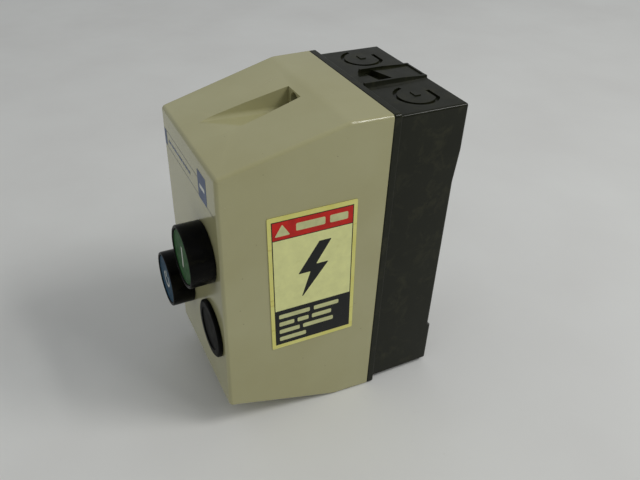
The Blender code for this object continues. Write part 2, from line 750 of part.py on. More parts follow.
def make_start_contact():
    """A contact block on the contactor's right side, worked by the start button's rod."""
    x, z = START_PLACE
    left, right = START_BLOCK_LEFT, START_BLOCK_RIGHT
    block = box("start_contact_block", (left, -44.0, z - 20.1), (right, 26.0, z + 19.9), "black_plastic")
    bevel(block, 0.8, 1)
    cut(block, rod("plunger bore", x, z, 3.9, -46.0, -31.0, sides=24))
    cut(block, box("upper pocket", (left + 2.6, -46.0, z + 12.0), (right - 2.6, -33.0, z + 25.0)))
    cut(block, box("lower pocket", (left + 2.6, -46.0, z - 25.0), (right - 2.6, -33.0, z - 12.0)))
    tip = -START_PLUNGER_TIP
    pin = [(0.0, tip), (3.0, tip), (3.5, tip - 0.5), (3.5, tip - 12.0), (0.0, tip - 12.0)]
    turned("start_contact_plunger", x, 0.0, z, pin, "grey_plastic", 20)


# ---------------------------------------------------------------------------
# Overload relay
# ---------------------------------------------------------------------------

def make_overload_relay():
    profile = [(24.0, 22.0), (24.0, 80.0), (-44.0, 80.0), (-44.0, 38.5), (-30.0, 38.5), (-30.0, 22.0)]
    left, right = UNIT_X - UNIT_HALF, UNIT_X + UNIT_HALF
    housing = side_outline("relay_housing", profile, left, right, "black_plastic")
    bevel(housing, 0.8, 1)
    for number, x in enumerate(POLES, 1):
        cut(housing, box("pin slot", (x - 2.9, -19.1, 70.0), (x + 2.9, -17.4, 85.0)))
        cut(housing, box("motor terminal", (x - 5.0, -35.0, 15.0), (x + 5.0, -16.0, 34.0)))
        box(f"relay_pin_{number}", (x - 2.5, -18.7, 71.0), (x + 2.5, -17.8, 89.5), "copper")
    reset_x, key_z = RESET_PLACE
    cut(housing, rod("reset bore", reset_x, key_z, 3.8, -46.0, -30.0, sides=24))
    cut(housing, rod("stop bore", STOP_KEY_X, key_z, 3.8, -46.0, -30.0, sides=24))
    cut(housing, rod("dial recess", UNIT_X, DIAL_Z, 6.6, -46.0, -41.0, sides=24))
    tip = -RESET_KEY_TIP
    key = [(0.0, tip), (3.0, tip), (3.5, tip - 0.5), (3.5, tip - 12.0), (0.0, tip - 12.0)]
    turned("relay_reset_key", reset_x, 0.0, key_z, key, "blue_cap", 20)
    key = [(0.0, 46.4), (3.0, 46.4), (3.5, 45.9), (3.5, 36.0), (0.0, 36.0)]
    turned("relay_stop_key", STOP_KEY_X, 0.0, key_z, key, "red_cap", 20)
    knob = [(0.0, 44.6), (5.6, 44.6), (6.2, 44.0), (6.2, 41.3), (0.0, 41.3)]
    dial = turned("relay_dial", UNIT_X, 0.0, DIAL_Z, knob, "cream_plastic", 24)
    cut(dial, box("dial slot", (UNIT_X - 0.6, -46.0, DIAL_Z - 4.2), (UNIT_X + 0.6, -43.4, DIAL_Z + 4.2)))


clear_scene()
PARTS = new_collection("magnetic_motor_starter")
HELPERS = new_collection("helper_shapes")
HELPERS.hide_render = True
ORIGIN = bpy.data.objects.new("parting_plane", None)
ORIGIN.location = (0.0, PARTING_Y * MM, 0.0)
PARTS.objects.link(ORIGIN)

make_base_box()
make_cover()
make_gasket()
make_cover_screws()
make_side_label()
make_rail()
make_operator("start", START_PLACE, "green_cap", START_PLUNGER_TIP)
make_operator("reset", RESET_PLACE, "blue_cap", RESET_KEY_TIP)
make_blanking_plug()
make_contactor_base()
make_magnet()
make_contact_carrier()
make_contactor_housing()
make_terminals()
make_start_contact()
make_overload_relay()
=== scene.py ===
"""Looks of the enclosed magnetic motor starter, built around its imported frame.

Sizes and places are in millimetres and MM converts them where meshes are made. X is to the right seen
from the front, Y to the back and Z up. Depths are measured from the parting plane of lid and box,
forward is negative, and heights from the floor. The driving sizes are read from the frame.
"""

import json
from math import asin, atan2, cos, degrees, pi, radians, sin, tan

import bmesh
import bpy
from mathutils import Euler, Matrix, Vector

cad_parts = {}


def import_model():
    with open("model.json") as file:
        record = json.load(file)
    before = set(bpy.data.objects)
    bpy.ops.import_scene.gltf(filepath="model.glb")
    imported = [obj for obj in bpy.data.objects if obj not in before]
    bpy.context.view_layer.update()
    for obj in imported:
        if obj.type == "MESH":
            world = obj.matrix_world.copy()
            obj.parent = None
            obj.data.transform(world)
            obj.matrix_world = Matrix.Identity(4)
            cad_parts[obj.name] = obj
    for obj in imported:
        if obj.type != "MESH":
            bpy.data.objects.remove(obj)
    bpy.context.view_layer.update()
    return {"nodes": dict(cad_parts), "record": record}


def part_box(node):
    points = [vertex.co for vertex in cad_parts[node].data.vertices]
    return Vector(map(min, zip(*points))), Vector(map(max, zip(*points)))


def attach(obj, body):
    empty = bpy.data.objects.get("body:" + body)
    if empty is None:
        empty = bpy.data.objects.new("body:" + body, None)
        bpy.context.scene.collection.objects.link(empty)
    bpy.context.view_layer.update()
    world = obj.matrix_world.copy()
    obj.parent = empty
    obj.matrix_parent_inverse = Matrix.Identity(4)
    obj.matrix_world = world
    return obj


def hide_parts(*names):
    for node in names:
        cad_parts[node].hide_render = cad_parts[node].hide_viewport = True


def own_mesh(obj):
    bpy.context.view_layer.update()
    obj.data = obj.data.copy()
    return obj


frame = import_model()
NODES = frame["nodes"]

MM = 0.001
SMOOTH_LIMIT = 32.0
ROUND_STEPS = 128
ROD_STEPS = 64


def corners(node):
    """The lowest and highest corner of a node's box."""
    low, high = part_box(node)
    return low / MM, high / MM


def middle(node):
    """Where a round node's axis crosses the front, as (x, z)."""
    low, high = corners(node)
    return (low.x + high.x) / 2, (low.z + high.z) / 2


BASE_LOW, BASE_HIGH = corners("base_box")
COVER_LOW, COVER_HIGH = corners("cover")
BEZEL_LOW, BEZEL_HIGH = corners("start_bezel")
PARTING_Y = BASE_LOW.y
WIDTH = BASE_HIGH.x - BASE_LOW.x
HEIGHT = BASE_HIGH.z - BASE_LOW.z
COVER_DEPTH = PARTING_Y - COVER_LOW.y
BEZEL_RADIUS = (BEZEL_HIGH.x - BEZEL_LOW.x) / 2
BEZEL_REACH = COVER_LOW.y - BEZEL_LOW.y
BASE_DEPTH = BASE_HIGH.y - BASE_LOW.y

# Lid
PARTING_GAP = 0.3
COVER_FLAT = 23.6
SLOPE_DROP = 17.9
SIDE_TAPER = 4.2
COVER_WALL = 2.8
COVER_ROUNDING = 2.0
PANEL_HOLE_RADIUS = 11.3
CHANNEL_REAR = -31.0
CHANNEL_FLOOR = 15.4
CHANNEL_SECTIONS = ((CHANNEL_REAR, 7.6), (-55.0, 9.9), (-90.0, 11.4))
CHANNEL_BLOCK_FRONT = -83.0
CHANNEL_BLOCK_HALF = 13.4
CHANNEL_FILLET = 3.0
SCREW_INSET = 7.4
SCREW_SEAT = -24.0
HEAD_HOLE_RADIUS = 4.5
SHANK_HOLE_RADIUS = 2.4

# Box
BASE_WALL = 3.0
BASE_INSET = 2.3
LIP_DEPTH = 4.4
FOOT_STEP = 1.9
LOW_FOOT_TOP = 31.8
HIGH_FOOT_START = 139.0
HIGH_FOOT = 158.8
FRAME_X = -1.7
RIB_INNER = 8.6
RIB_OUTER = 10.1
RIB_TOP = 0.1
RIB_REAR_TOP = 1.1
RIB_FOOT = 3.4
RIB_LEAN = 0.4
RIB_FALL = 28.0
LEFT_RIB_FRONT = 13.5
RIGHT_RIB_FRONT = 6.0
FRAME_BACK = 45.6
RAMP_FRONT = 20.0
SLOT_FRONT = 15.5
SLOT_BACK = 20.6
SLOT_FRONT_SLANT = 0.23
SLOT_BACK_SLANT = 0.34
KNOCKOUT_SPACING = 29.0
KNOCKOUT_Y = 26.2
GROOVE_OUTER = 12.4
GROOVE_INNER = 10.2
GROOVE_START = 195.0
GROOVE_CHORD = 10.3
GROOVE_END = -3.6
GROOVE_DEPTH = 1.4
RAIL_SCREW_X = 34.5
RAIL_Z = 121.0
RAIL_BACK = 39.2
WALL_HOLE_RADIUS = 2.75
WALL_HOLE_HEIGHTS = (14.0, 173.0)

# Operators and plug, measured forward from the lid's front
GAP = 0.3
SEAL_RADIUS = 15.0
BARREL_RADIUS = 11.0
BARREL_END = -20.0
SPRING_BORE = 8.6
SPRING_SEAT = -12.0
CAP_REACH = 13.0
CAP_BACK = 8.2
CAP_RADIUS = 15.0
CAP_RIM = 13.4
CAP_DISH = 0.35
STEM_RADIUS = 4.6
STEM_END = -22.0
STEM_BORE = -16.0
PLUG_FACE = 2.0
PLUG_RIM = 2.6

# Side label, measured about its middle
LABEL_TILT = radians(-1.5)
LABEL_HALF = 0.15
PRINT_HALF_WIDTH = 22.6
PRINT_HALF_HEIGHT = 41.7
PRINT_LINE = 0.5
UNDERLAP = 0.3
BAND_FOOT = 30.6
PANEL_HEAD = -16.6
TOP_ROW = -22.6
ROW_PITCH = 5.5
ROW_HEIGHT = 2.9
INK = 0.03
INK_LIFT = 0.02

# Print on the lid's front
BAND_LEFT = -38.3
BAND_RIGHT = 17.6
BAND_TOP = 157.4
BLOCK_RIGHT = 30.6
DASH_GAP = 1.1

# Springs
WIRE = 0.5
WIRE_SIDES = 10
COIL_STEPS = 24
BACKWARD = Vector((0.0, 1.0, 0.0))

# Camera
CAMERA_PLACE = (288.4, -163.3, 317.4)
CAMERA_AZIMUTH = radians(62.416)
CAMERA_ELEVATION = radians(35.472)
CAMERA_ROLL = radians(2.268)
CAMERA_LENS = 36.378

# Sky
SKY_WINDOW = Vector((-0.45, -0.45, 0.77)).normalized()
SKY_LOW = 0.2
SKY_HIGH = 0.48

# Lamps in metres and watts: place, target, sides, power, direction of the first side
KEY_LAMP = ((0.93, 1.44, 1.82), (0.0, 0.0, 0.08), (0.66, 0.66), 13.4, (1.0, 0.0, 0.0))
TUBE_LAMP = ((0.74, 0.61, 1.25), (0.0, 0.0, 0.1), (1.12, 0.06), 4.4, (1.12, 0.23, 0.0))

SCENE = bpy.context.scene


# ---------------------------------------------------------------------------
# Node trees
# ---------------------------------------------------------------------------

class Surface:
    """A material whose nodes are added by short calls. Lengths are in millimetres."""

    def __init__(self, name, **sockets):
        self.material = bpy.data.materials.new(name)
        self.material.use_nodes = True
        self.tree = self.material.node_tree
        self.shader = self.tree.nodes["Principled BSDF"]
        for socket, value in sockets.items():
            self.set(socket.replace("_", " "), value)

    def add(self, kind, inputs, **settings):
        made = self.tree.nodes.new(kind)
        for key, value in settings.items():
            setattr(made, key, value)
        for key, value in inputs.items():
            self.feed(made.inputs[key], value)
        return made

    def feed(self, socket, value):
        if isinstance(value, bpy.types.NodeSocket):
            self.tree.links.new(value, socket)
        else:
            socket.default_value = value

    def set(self, socket, value):
        self.feed(self.shader.inputs[socket], value)

    def coordinates(self, stretch=(1.0, 1.0, 1.0), shift=(0.0, 0.0, 0.0), turn=(0.0, 0.0, 0.0)):
        source = self.add("ShaderNodeTexCoord", {}).outputs["Object"]
        scale = Vector(stretch) / MM
        inputs = {"Vector": source, "Scale": scale, "Location": shift, "Rotation": turn}
        return self.add("ShaderNodeMapping", inputs).outputs["Vector"]

    def noise(self, size, detail=3.0, roughness=0.5, distortion=0.0, **where):
        """A noise between 0 and 1 whose blotches are about size across."""
        inputs = {
            "Vector": self.coordinates(**where),
            "Scale": 1.0 / size,
            "Detail": detail,
            "Roughness": roughness,
            "Distortion": distortion,
        }
        return self.add("ShaderNodeTexNoise", inputs).outputs["Fac"]

    def cells(self, size, **where):
        """The distance to the nearest of scattered points that lie about size apart."""
        inputs = {"Vector": self.coordinates(**where), "Scale": 1.0 / size}
        return self.add("ShaderNodeTexVoronoi", inputs).outputs["Distance"]

    def waves(self, pitch, direction="X", distortion=0.0, **where):
        """Even lines across a direction, pitch apart."""
        inputs = {"Vector": self.coordinates(**where), "Scale": pi / 10.0 / pitch, "Distortion": distortion}
        return self.add("ShaderNodeTexWave", inputs, bands_direction=direction).outputs["Fac"]

    def remap(self, value, low, high, to_low=0.0, to_high=1.0):
        inputs = {"Value": value, "From Min": low, "From Max": high, "To Min": to_low, "To Max": to_high}
        return self.add("ShaderNodeMapRange", inputs).outputs["Result"]

    def maths(self, operation, first, second=0.0):
        made = self.tree.nodes.new("ShaderNodeMath")
        made.operation = operation
        self.feed(made.inputs[0], first)
        self.feed(made.inputs[1], second)
        return made.outputs["Value"]

    def mix(self, factor, first, second):
        made = self.add("ShaderNodeMix", {}, data_type="RGBA")
        self.feed(made.inputs["Factor"], factor)
        self.feed(made.inputs["A"], first)
        self.feed(made.inputs["B"], second)
        return made.outputs["Result"]

    def hollows(self, distance):
        """1 in a corner or a narrow gap, 0 on an open face."""
        inputs = {"Distance": distance * MM}
        open_air = self.add("ShaderNodeAmbientOcclusion", inputs, samples=6).outputs["AO"]
        return self.remap(open_air, 0.85, 0.35)

    def edges(self, radius):
        """1 on a sharp outer edge, 0 on an open face."""
        soft = self.add("ShaderNodeBevel", {"Radius": radius * MM}, samples=4).outputs["Normal"]
        sharp = self.add("ShaderNodeNewGeometry", {}).outputs["Normal"]
        dot = self.add("ShaderNodeVectorMath", {}, operation="DOT_PRODUCT")
        self.feed(dot.inputs[0], soft)
        self.feed(dot.inputs[1], sharp)
        return self.remap(dot.outputs["Value"], 0.98, 0.85)

    def relief(self, *layers):
        """Bump from pairs of a height between 0 and 1 and its depth in millimetres."""
        normal = None
        for height, depth in layers:
            inputs = {"Height": height, "Distance": depth * MM, "Strength": 1.0}
            if normal is not None:
                inputs["Normal"] = normal
            normal = self.add("ShaderNodeBump", inputs).outputs["Normal"]
        self.set("Normal", normal)


def colour(red, green, blue):
    """A colour as it is seen on a screen, from 0 to 255, in the linear values that shaders take."""
    def linear(value):
        value /= 255.0
        return value / 12.92 if value <= 0.04045 else ((value + 0.055) / 1.055) ** 2.4
    return (linear(red), linear(green), linear(blue), 1.0)


# ---------------------------------------------------------------------------
# Materials
# ---------------------------------------------------------------------------

def beige_plastic():
    """The lid: glossy thermoset, a little yellowed, with faint smudges and scuffs, and patchy painted shade
    in its corners.
    """
    surface = Surface("beige_plastic", IOR=1.5)
    blot = surface.remap(surface.noise(55.0, 4.0), 0.35, 0.65)
    body = surface.mix(blot, colour(178, 175, 134), colour(172, 168, 125))
    smudge = surface.remap(surface.noise(16.0, 6.0, 0.65, 0.6), 0.56, 0.74, 0.0, 0.35)
    body = surface.mix(smudge, body, colour(172, 167, 128))
    scuff = surface.remap(surface.noise(3.2, 5.0, 0.7, stretch=(0.35, 1.0, 1.6)), 0.66, 0.74, 0.0, 0.25)
    body = surface.mix(scuff, body, colour(150, 146, 118))
    speck = surface.remap(surface.cells(9.0), 0.045, 0.02, 0.0, 0.55)
    body = surface.mix(speck, body, colour(92, 84, 62))
    # Painted shade: corners and narrow gaps darkened by ambient occlusion, in patches.
    painted_hollow_shade = surface.maths("MULTIPLY", surface.hollows(4.0), surface.remap(surface.noise(7.0, 4.0), 0.3, 0.7))
    body = surface.mix(surface.maths("MULTIPLY", painted_hollow_shade, 0.8), body, colour(120, 112, 66))
    surface.set("Base Color", body)
    gloss = surface.remap(surface.noise(24.0, 5.0, 0.6), 0.3, 0.7, 0.1, 0.19)
    surface.set("Roughness", surface.maths("ADD", gloss, surface.maths("MULTIPLY", smudge, 0.35)))
    surface.relief((surface.noise(0.5, 2.0), 0.006), (surface.noise(9.0, 2.0), 0.03))
    return surface.material


def moulded_black(name, seen, wear_and_edge_highlight, roughness, shine, coat, dusty):
    """Charcoal moulding with dust and light handling marks, and paler edges that are a painted edge highlight
    as well as wear.
    """
    surface = Surface(name, IOR=1.5, Specular_IOR_Level=shine, Coat_Weight=coat, Coat_Roughness=0.1)
    paler = colour(*(value + 5 for value in seen))
    body = surface.mix(surface.remap(surface.noise(30.0, 4.0), 0.3, 0.7), colour(*seen), paler)
    dust = surface.remap(surface.noise(11.0, 7.0, 0.7, 0.5), 0.52, 0.75, 0.0, dusty)
    body = surface.mix(dust, body, colour(112, 110, 78))
    scratch = surface.remap(surface.noise(2.2, 4.0, 0.7, stretch=(1.0, 0.12, 0.5)), 0.68, 0.76, 0.0, 0.25)
    body = surface.mix(scratch, body, colour(*wear_and_edge_highlight))
    # Painted edge highlight: sharp edges lightened towards the wear colour.
    body = surface.mix(surface.maths("MULTIPLY", surface.edges(0.5), 0.3), body, colour(*wear_and_edge_highlight))
    surface.set("Base Color", body)
    gloss = surface.remap(surface.noise(8.0, 5.0), 0.3, 0.7, *roughness)
    surface.set("Roughness", surface.maths("ADD", gloss, surface.maths("MULTIPLY", dust, 0.8)))
    surface.relief((surface.noise(0.35, 2.0), 0.01), (surface.noise(12.0, 2.0), 0.04))
    return surface.material


def cap_plastic(name, seen, shade):
    """A button's cap: coloured through, rubbed paler in the middle where fingers press it."""
    surface = Surface(name, IOR=1.5, Specular_IOR_Level=0.02)
    body = surface.mix(surface.remap(surface.noise(6.0, 4.0), 0.3, 0.7), colour(*seen), colour(*shade))
    rub = surface.remap(surface.noise(1.1, 5.0, 0.7, stretch=(1.0, 1.0, 0.25)), 0.6, 0.75, 0.0, 0.3)
    body = surface.mix(rub, body, colour(*(value * 1.3 for value in seen)))
    # Painted shade: the gap round the cap and other hollows darkened by ambient occlusion.
    painted_hollow_shade = surface.maths("MULTIPLY", surface.hollows(1.2), 0.6)
    body = surface.mix(painted_hollow_shade, body, colour(24, 24, 22))
    surface.set("Base Color", body)
    surface.set("Roughness", surface.remap(surface.noise(3.0, 4.0), 0.3, 0.7, 0.26, 0.42))
    surface.relief((surface.noise(0.3, 2.0), 0.004), (surface.noise(5.0, 2.0), 0.02))
    return surface.material


def plain_plastic(name, seen, roughness=(0.38, 0.55)):
    """Inner mouldings: matt, slightly uneven, with patches of painted shade in the corners."""
    surface = Surface(name, IOR=1.48)
    lighter = colour(*(min(value + 12, 250) for value in seen))
    body = surface.mix(surface.remap(surface.noise(14.0, 4.0), 0.3, 0.7), colour(*seen), lighter)
    patches = surface.remap(surface.noise(4.0, 4.0), 0.3, 0.7, 0.1, 0.5)
    # Painted shade: corners darkened by ambient occlusion, in patches.
    painted_hollow_shade = surface.maths("MULTIPLY", surface.hollows(2.0), patches)
    body = surface.mix(painted_hollow_shade, body, colour(*(value * 0.55 for value in seen)))
    surface.set("Base Color", body)
    surface.set("Roughness", surface.remap(surface.noise(5.0, 4.0), 0.3, 0.7, *roughness))
    surface.relief((surface.noise(0.3, 2.0), 0.008),)
    return surface.material


def rubber():
    """Seals and gasket: matt and dusty."""
    surface = Surface("rubber", IOR=1.45)
    blot = surface.remap(surface.noise(5.0, 5.0), 0.35, 0.65)
    body = surface.mix(blot, colour(34, 34, 33), colour(52, 51, 48))
    surface.set("Base Color", body)
    surface.set("Roughness", surface.remap(surface.noise(2.0, 4.0), 0.3, 0.7, 0.7, 0.88))
    surface.relief((surface.noise(0.4, 3.0), 0.03),)
    return surface.material


def metal(name, seen, stained, roughness, brush=(1.0, 1.0, 0.08), stain=0.35):
    """Plated or bare metal with fine drawn lines, stains and duller patches."""
    surface = Surface(name, Metallic=1.0)
    blot = surface.remap(surface.noise(4.0, 6.0, 0.65, 0.4), 0.45, 0.75, 0.0, stain)
    body = surface.mix(blot, colour(*seen), colour(*stained))
    # Painted shade: hollows darkened by ambient occlusion.
    painted_hollow_shade = surface.maths("MULTIPLY", surface.hollows(0.8), 0.7)
    body = surface.mix(painted_hollow_shade, body, colour(*(value * 0.4 for value in stained)))
    surface.set("Base Color", body)
    gloss = surface.remap(surface.noise(1.5, 4.0), 0.3, 0.7, *roughness)
    surface.set("Roughness", surface.maths("ADD", gloss, surface.maths("MULTIPLY", blot, 0.5)))
    surface.relief((surface.noise(0.3, 3.0, stretch=brush), 0.01),)
    return surface.material


def laminated_steel():
    """A magnet's stack of thin sheets, whose edges show as fine lines."""
    surface = Surface("core_steel", Metallic=0.9)
    sheets = surface.waves(0.5, "X")
    body = surface.mix(surface.remap(sheets, 0.1, 0.6), colour(58, 56, 54), colour(128, 126, 124))
    rust = surface.remap(surface.noise(3.5, 6.0, 0.7), 0.55, 0.75, 0.0, 0.5)
    body = surface.mix(rust, body, colour(98, 72, 50))
    surface.set("Base Color", body)
    surface.set("Roughness", surface.remap(surface.noise(2.0, 4.0), 0.3, 0.7, 0.4, 0.6))
    surface.relief((sheets, 0.05),)
    return surface.material


def enamelled_winding():
    """Copper wire in close turns under a coat of varnish."""
    surface = Surface("winding_copper", Metallic=0.85, Coat_Weight=0.4, Coat_Roughness=0.2)
    turns = surface.waves(0.55, "Y", 0.4)
    body = surface.mix(surface.remap(turns, 0.1, 0.7), colour(84, 38, 18), colour(186, 100, 56))
    burnt = surface.remap(surface.noise(6.0, 5.0), 0.45, 0.7, 0.0, 0.4)
    body = surface.mix(burnt, body, colour(96, 50, 26))
    surface.set("Base Color", body)
    surface.set("Roughness", surface.remap(surface.noise(2.5, 3.0), 0.3, 0.7, 0.28, 0.42))
    surface.relief((turns, 0.12),)
    return surface.material


def print_ink(name, seen, fade=0.14):
    """Screen-printed ink, a little uneven and worn through in tiny spots."""
    surface = Surface(name, IOR=1.48, Specular_IOR_Level=0.3)
    faded = colour(*(value * (1.0 - fade) for value in seen))
    body = surface.mix(surface.remap(surface.noise(5.0, 5.0), 0.3, 0.7), colour(*seen), faded)
    spot = surface.remap(surface.noise(0.5, 3.0, 0.6), 0.7, 0.78, 0.0, 0.35)
    body = surface.mix(spot, body, colour(196, 190, 150))
    surface.set("Base Color", body)
    surface.set("Roughness", surface.remap(surface.noise(6.0, 4.0), 0.3, 0.7, 0.26, 0.38))
    surface.relief((surface.noise(0.25, 2.0), 0.003),)
    return surface.material


def label_film():
    """The side label: cream vinyl that has yellowed in stains, with painted shade along a few creases."""
    surface = Surface("label_film", IOR=1.48)
    blot = surface.remap(surface.noise(22.0, 4.0), 0.3, 0.7)
    body = surface.mix(blot, colour(232, 229, 140), colour(224, 219, 118))
    stain = surface.remap(surface.noise(9.0, 6.0, 0.6, 0.8), 0.52, 0.72, 0.0, 0.4)
    body = surface.mix(stain, body, colour(222, 206, 92))
    ridge = surface.noise(30.0, 2.0, 0.5, 0.3, stretch=(1.0, 0.25, 1.2))
    crease = surface.remap(surface.maths("ABSOLUTE", surface.maths("SUBTRACT", ridge, 0.5)), 0.012, 0.0)
    # Painted shade: darker along the creases, which also get a bump.
    body = surface.mix(surface.maths("MULTIPLY", crease, 0.4), body, colour(190, 172, 72))
    surface.set("Base Color", body)
    surface.set("Roughness", surface.remap(surface.noise(7.0, 4.0), 0.3, 0.7, 0.26, 0.4))
    surface.relief((crease, 0.05), (surface.noise(6.0, 2.0), 0.04))
    return surface.material


def floor_paper():
    """Pale paper, clouded a little."""
    surface = Surface("floor_paper", IOR=1.4)
    blot = surface.remap(surface.noise(160.0, 4.0), 0.3, 0.7)
    body = surface.mix(blot, colour(232, 233, 230), colour(224, 224, 221))
    fleck = surface.remap(surface.noise(7.0, 6.0, 0.7), 0.64, 0.8, 0.0, 0.25)
    body = surface.mix(fleck, body, colour(190, 189, 182))
    surface.set("Base Color", body)
    surface.set("Roughness", surface.remap(surface.noise(20.0, 3.0), 0.3, 0.7, 0.55, 0.7))
    surface.relief((surface.noise(1.5, 3.0), 0.03),)
    return surface.material


CHARCOAL = (24, 26, 14)
JET = (6, 6, 5)
FINISHES = {
    "beige_plastic": beige_plastic(),
    "black_plastic": moulded_black("black_plastic", CHARCOAL, (62, 63, 46), (0.3, 0.44), 0.05, 0.32, 0.14),
    "black_operator": moulded_black("black_operator", JET, (40, 40, 36), (0.24, 0.36), 0.04, 0.04, 0.05),
    "plug": moulded_black("black_plug", JET, (34, 34, 30), (0.3, 0.44), 0.015, 0.03, 0.05),
    "green_cap": cap_plastic("green_cap", (30, 86, 34), (27, 76, 29)),
    "blue_cap": cap_plastic("blue_cap", (16, 70, 98), (12, 58, 82)),
    "red_cap": cap_plastic("red_cap", (176, 34, 26), (150, 28, 22)),
    "grey_plastic": plain_plastic("grey_plastic", (126, 126, 122)),
    "cream_plastic": plain_plastic("cream_plastic", (198, 190, 166)),
    "rubber": rubber(),
    "core_steel": laminated_steel(),
    "zinc_steel": metal("zinc_steel", (196, 198, 198), (150, 146, 132), (0.24, 0.4)),
    "copper": metal("copper", (214, 142, 104), (120, 72, 52), (0.22, 0.38)),
    "brass": metal("brass", (206, 176, 104), (130, 98, 48), (0.22, 0.36)),
    "side_label_print": label_film(),
}
BLACK_INK = print_ink("black_ink", (22, 25, 24))
GROUND_INK = print_ink("ground_ink", (236, 238, 166), 0.05)
RED_INK = print_ink("red_ink", (214, 32, 22))
CREAM_INK = print_ink("cream_ink", (214, 216, 158), 0.08)
BLUE_INK = print_ink("blue_ink", (34, 70, 118))
WHITE_INK = print_ink("white_ink", (222, 224, 214), 0.06)
LINE_INK = print_ink("line_ink", (92, 100, 108))


# ---------------------------------------------------------------------------
# Meshes
# ---------------------------------------------------------------------------

def world(x, y, z):
    """A place given by depth from the parting plane, in metres in the frame."""
    return Vector((x, y + PARTING_Y, z)) * MM


def new_object(name, bm):
    """A scene object from a finished bmesh."""
    mesh = bpy.data.meshes.new(name)
    bm.to_mesh(mesh)
    bm.free()
    obj = bpy.data.objects.new(name, mesh)
    SCENE.collection.objects.link(obj)
    return obj


def applied(obj):
    """The object with its modifiers applied."""
    bpy.context.view_layer.update()
    mesh = bpy.data.meshes.new_from_object(obj.evaluated_get(bpy.context.evaluated_depsgraph_get()))
    obj.modifiers.clear()
    obj.data = mesh
    return obj


def shade(obj, limit=SMOOTH_LIMIT):
    """Smooth shading, except across edges sharper than limit degrees."""
    obj.data.shade_smooth()
    obj.data.set_sharp_from_angle(angle=radians(limit))
    even = obj.modifiers.new("even shading", "WEIGHTED_NORMAL")
    even.keep_sharp = True
    return obj


def piece(obj, finish, body, replaces=()):
    """Finishes a new piece: its material, the body it rides on and the nodes that it stands for."""
    obj.data.materials.clear()
    obj.data.materials.append(finish if isinstance(finish, bpy.types.Material) else FINISHES[finish])
    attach(obj, body)
    if replaces:
        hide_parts(*replaces)
    return obj


def rounded(points, radii, steps=5):
    """A closed outline with its corners rounded. radii holds one radius, or one for each corner."""
    count = len(points)
    radii = [radii] * count if isinstance(radii, (int, float)) else radii
    result = []
    for index, (point, radius) in enumerate(zip(points, radii)):
        corner = Vector(point)
        before = Vector(points[index - 1]) - corner
        after = Vector(points[(index + 1) % count]) - corner
        if radius <= 0.0 or before.length < 1e-6 or after.length < 1e-6:
            result.append(tuple(corner))
            continue
        before.normalize()
        after.normalize()
        half = before.angle(after) / 2
        middle = (before + after).normalized()
        centre = corner + middle * (radius / sin(half))
        start = corner + before * (radius / tan(half)) - centre
        stop = corner + after * (radius / tan(half)) - centre
        first = atan2(start.y, start.x)
        sweep = (atan2(stop.y, stop.x) - first + pi) % (2 * pi) - pi
        for step in range(steps + 1):
            angle = first + sweep * step / steps
            result.append((centre.x + radius * cos(angle), centre.y + radius * sin(angle)))
    return result


def turned(name, x, y, z, profile, steps=ROUND_STEPS, closed=False):
    """A piece turned about an axis along Y. The profile holds (radius, distance forward of y)."""
    bm = bmesh.new()
    rings = []
    for radius, forward in profile:
        if radius < 1e-6:
            rings.append([bm.verts.new(world(x, y - forward, z))])
            continue
        angles = [2 * pi * step / steps for step in range(steps)]
        places = [world(x + radius * cos(angle), y - forward, z + radius * sin(angle)) for angle in angles]
        rings.append([bm.verts.new(place) for place in places])
    pairs = list(zip(rings, rings[1:]))
    if closed:
        pairs.append((rings[-1], rings[0]))
    for first, second in pairs:
        for step in range(steps):
            following = (step + 1) % steps
            around = [
                first[step % len(first)], first[following % len(first)],
                second[following % len(second)], second[step % len(second)],
            ]
            loop = list(dict.fromkeys(around))
            if len(loop) > 2:
                bm.faces.new(loop)
    bmesh.ops.recalc_face_normals(bm, faces=bm.faces)
    return new_object(name, bm)


def slab(name, outlines, low, high, to_world):
    """Flat outlines thickened from low to high. to_world turns (u, v, height) into a place in metres."""
    bm = bmesh.new()
    for points in outlines:
        bottom = [bm.verts.new(to_world(u, v, low)) for u, v in points]
        top = [bm.verts.new(to_world(u, v, high)) for u, v in points]
        bm.faces.new(bottom)
        bm.faces.new(top)
        count = len(points)
        for index in range(count):
            following = (index + 1) % count
            bm.faces.new((bottom[index], bottom[following], top[following], top[index]))
    bmesh.ops.recalc_face_normals(bm, faces=bm.faces)
    return new_object(name, bm)


def front_slab(name, points, front, back):
    """An outline drawn as (x, z) and thickened along Y."""
    return slab(name, [points], front, back, lambda x, z, y: world(x, y, z))


def side_slab(name, points, low, high):
    """An outline drawn as (y, z) and thickened along X."""
    return slab(name, [points], low, high, lambda y, z, x: world(x, y, z))


def plan_slab(name, points, low, high):
    """An outline drawn as (x, y) and thickened along Z."""
    return slab(name, [points], low, high, world)


def block(name, low, high):
    """A box between two corners, given in any order."""
    x, y, z = (sorted(pair) for pair in zip(low, high))
    return plan_slab(name, [(x[0], y[0]), (x[1], y[0]), (x[1], y[1]), (x[0], y[1])], *z)


def loft(name, sections):
    """A solid through closed sections with the same number of points, given in metres in the frame."""
    bm = bmesh.new()
    rings = [[bm.verts.new(point) for point in section] for section in sections]
    count = len(rings[0])
    for first, second in zip(rings, rings[1:]):
        for index in range(count):
            following = (index + 1) % count
            bm.faces.new((first[index], first[following], second[following], second[index]))
    bm.faces.new(rings[0])
    bm.faces.new(rings[-1])
    bmesh.ops.recalc_face_normals(bm, faces=bm.faces)
    return new_object(name, bm)


def rod(name, x, z, radius, front, back):
    """A cylinder along Y between two depths."""
    end = front - back
    return turned(name, x, front, z, [(0.0, 0.0), (radius, 0.0), (radius, end), (0.0, end)], ROD_STEPS)


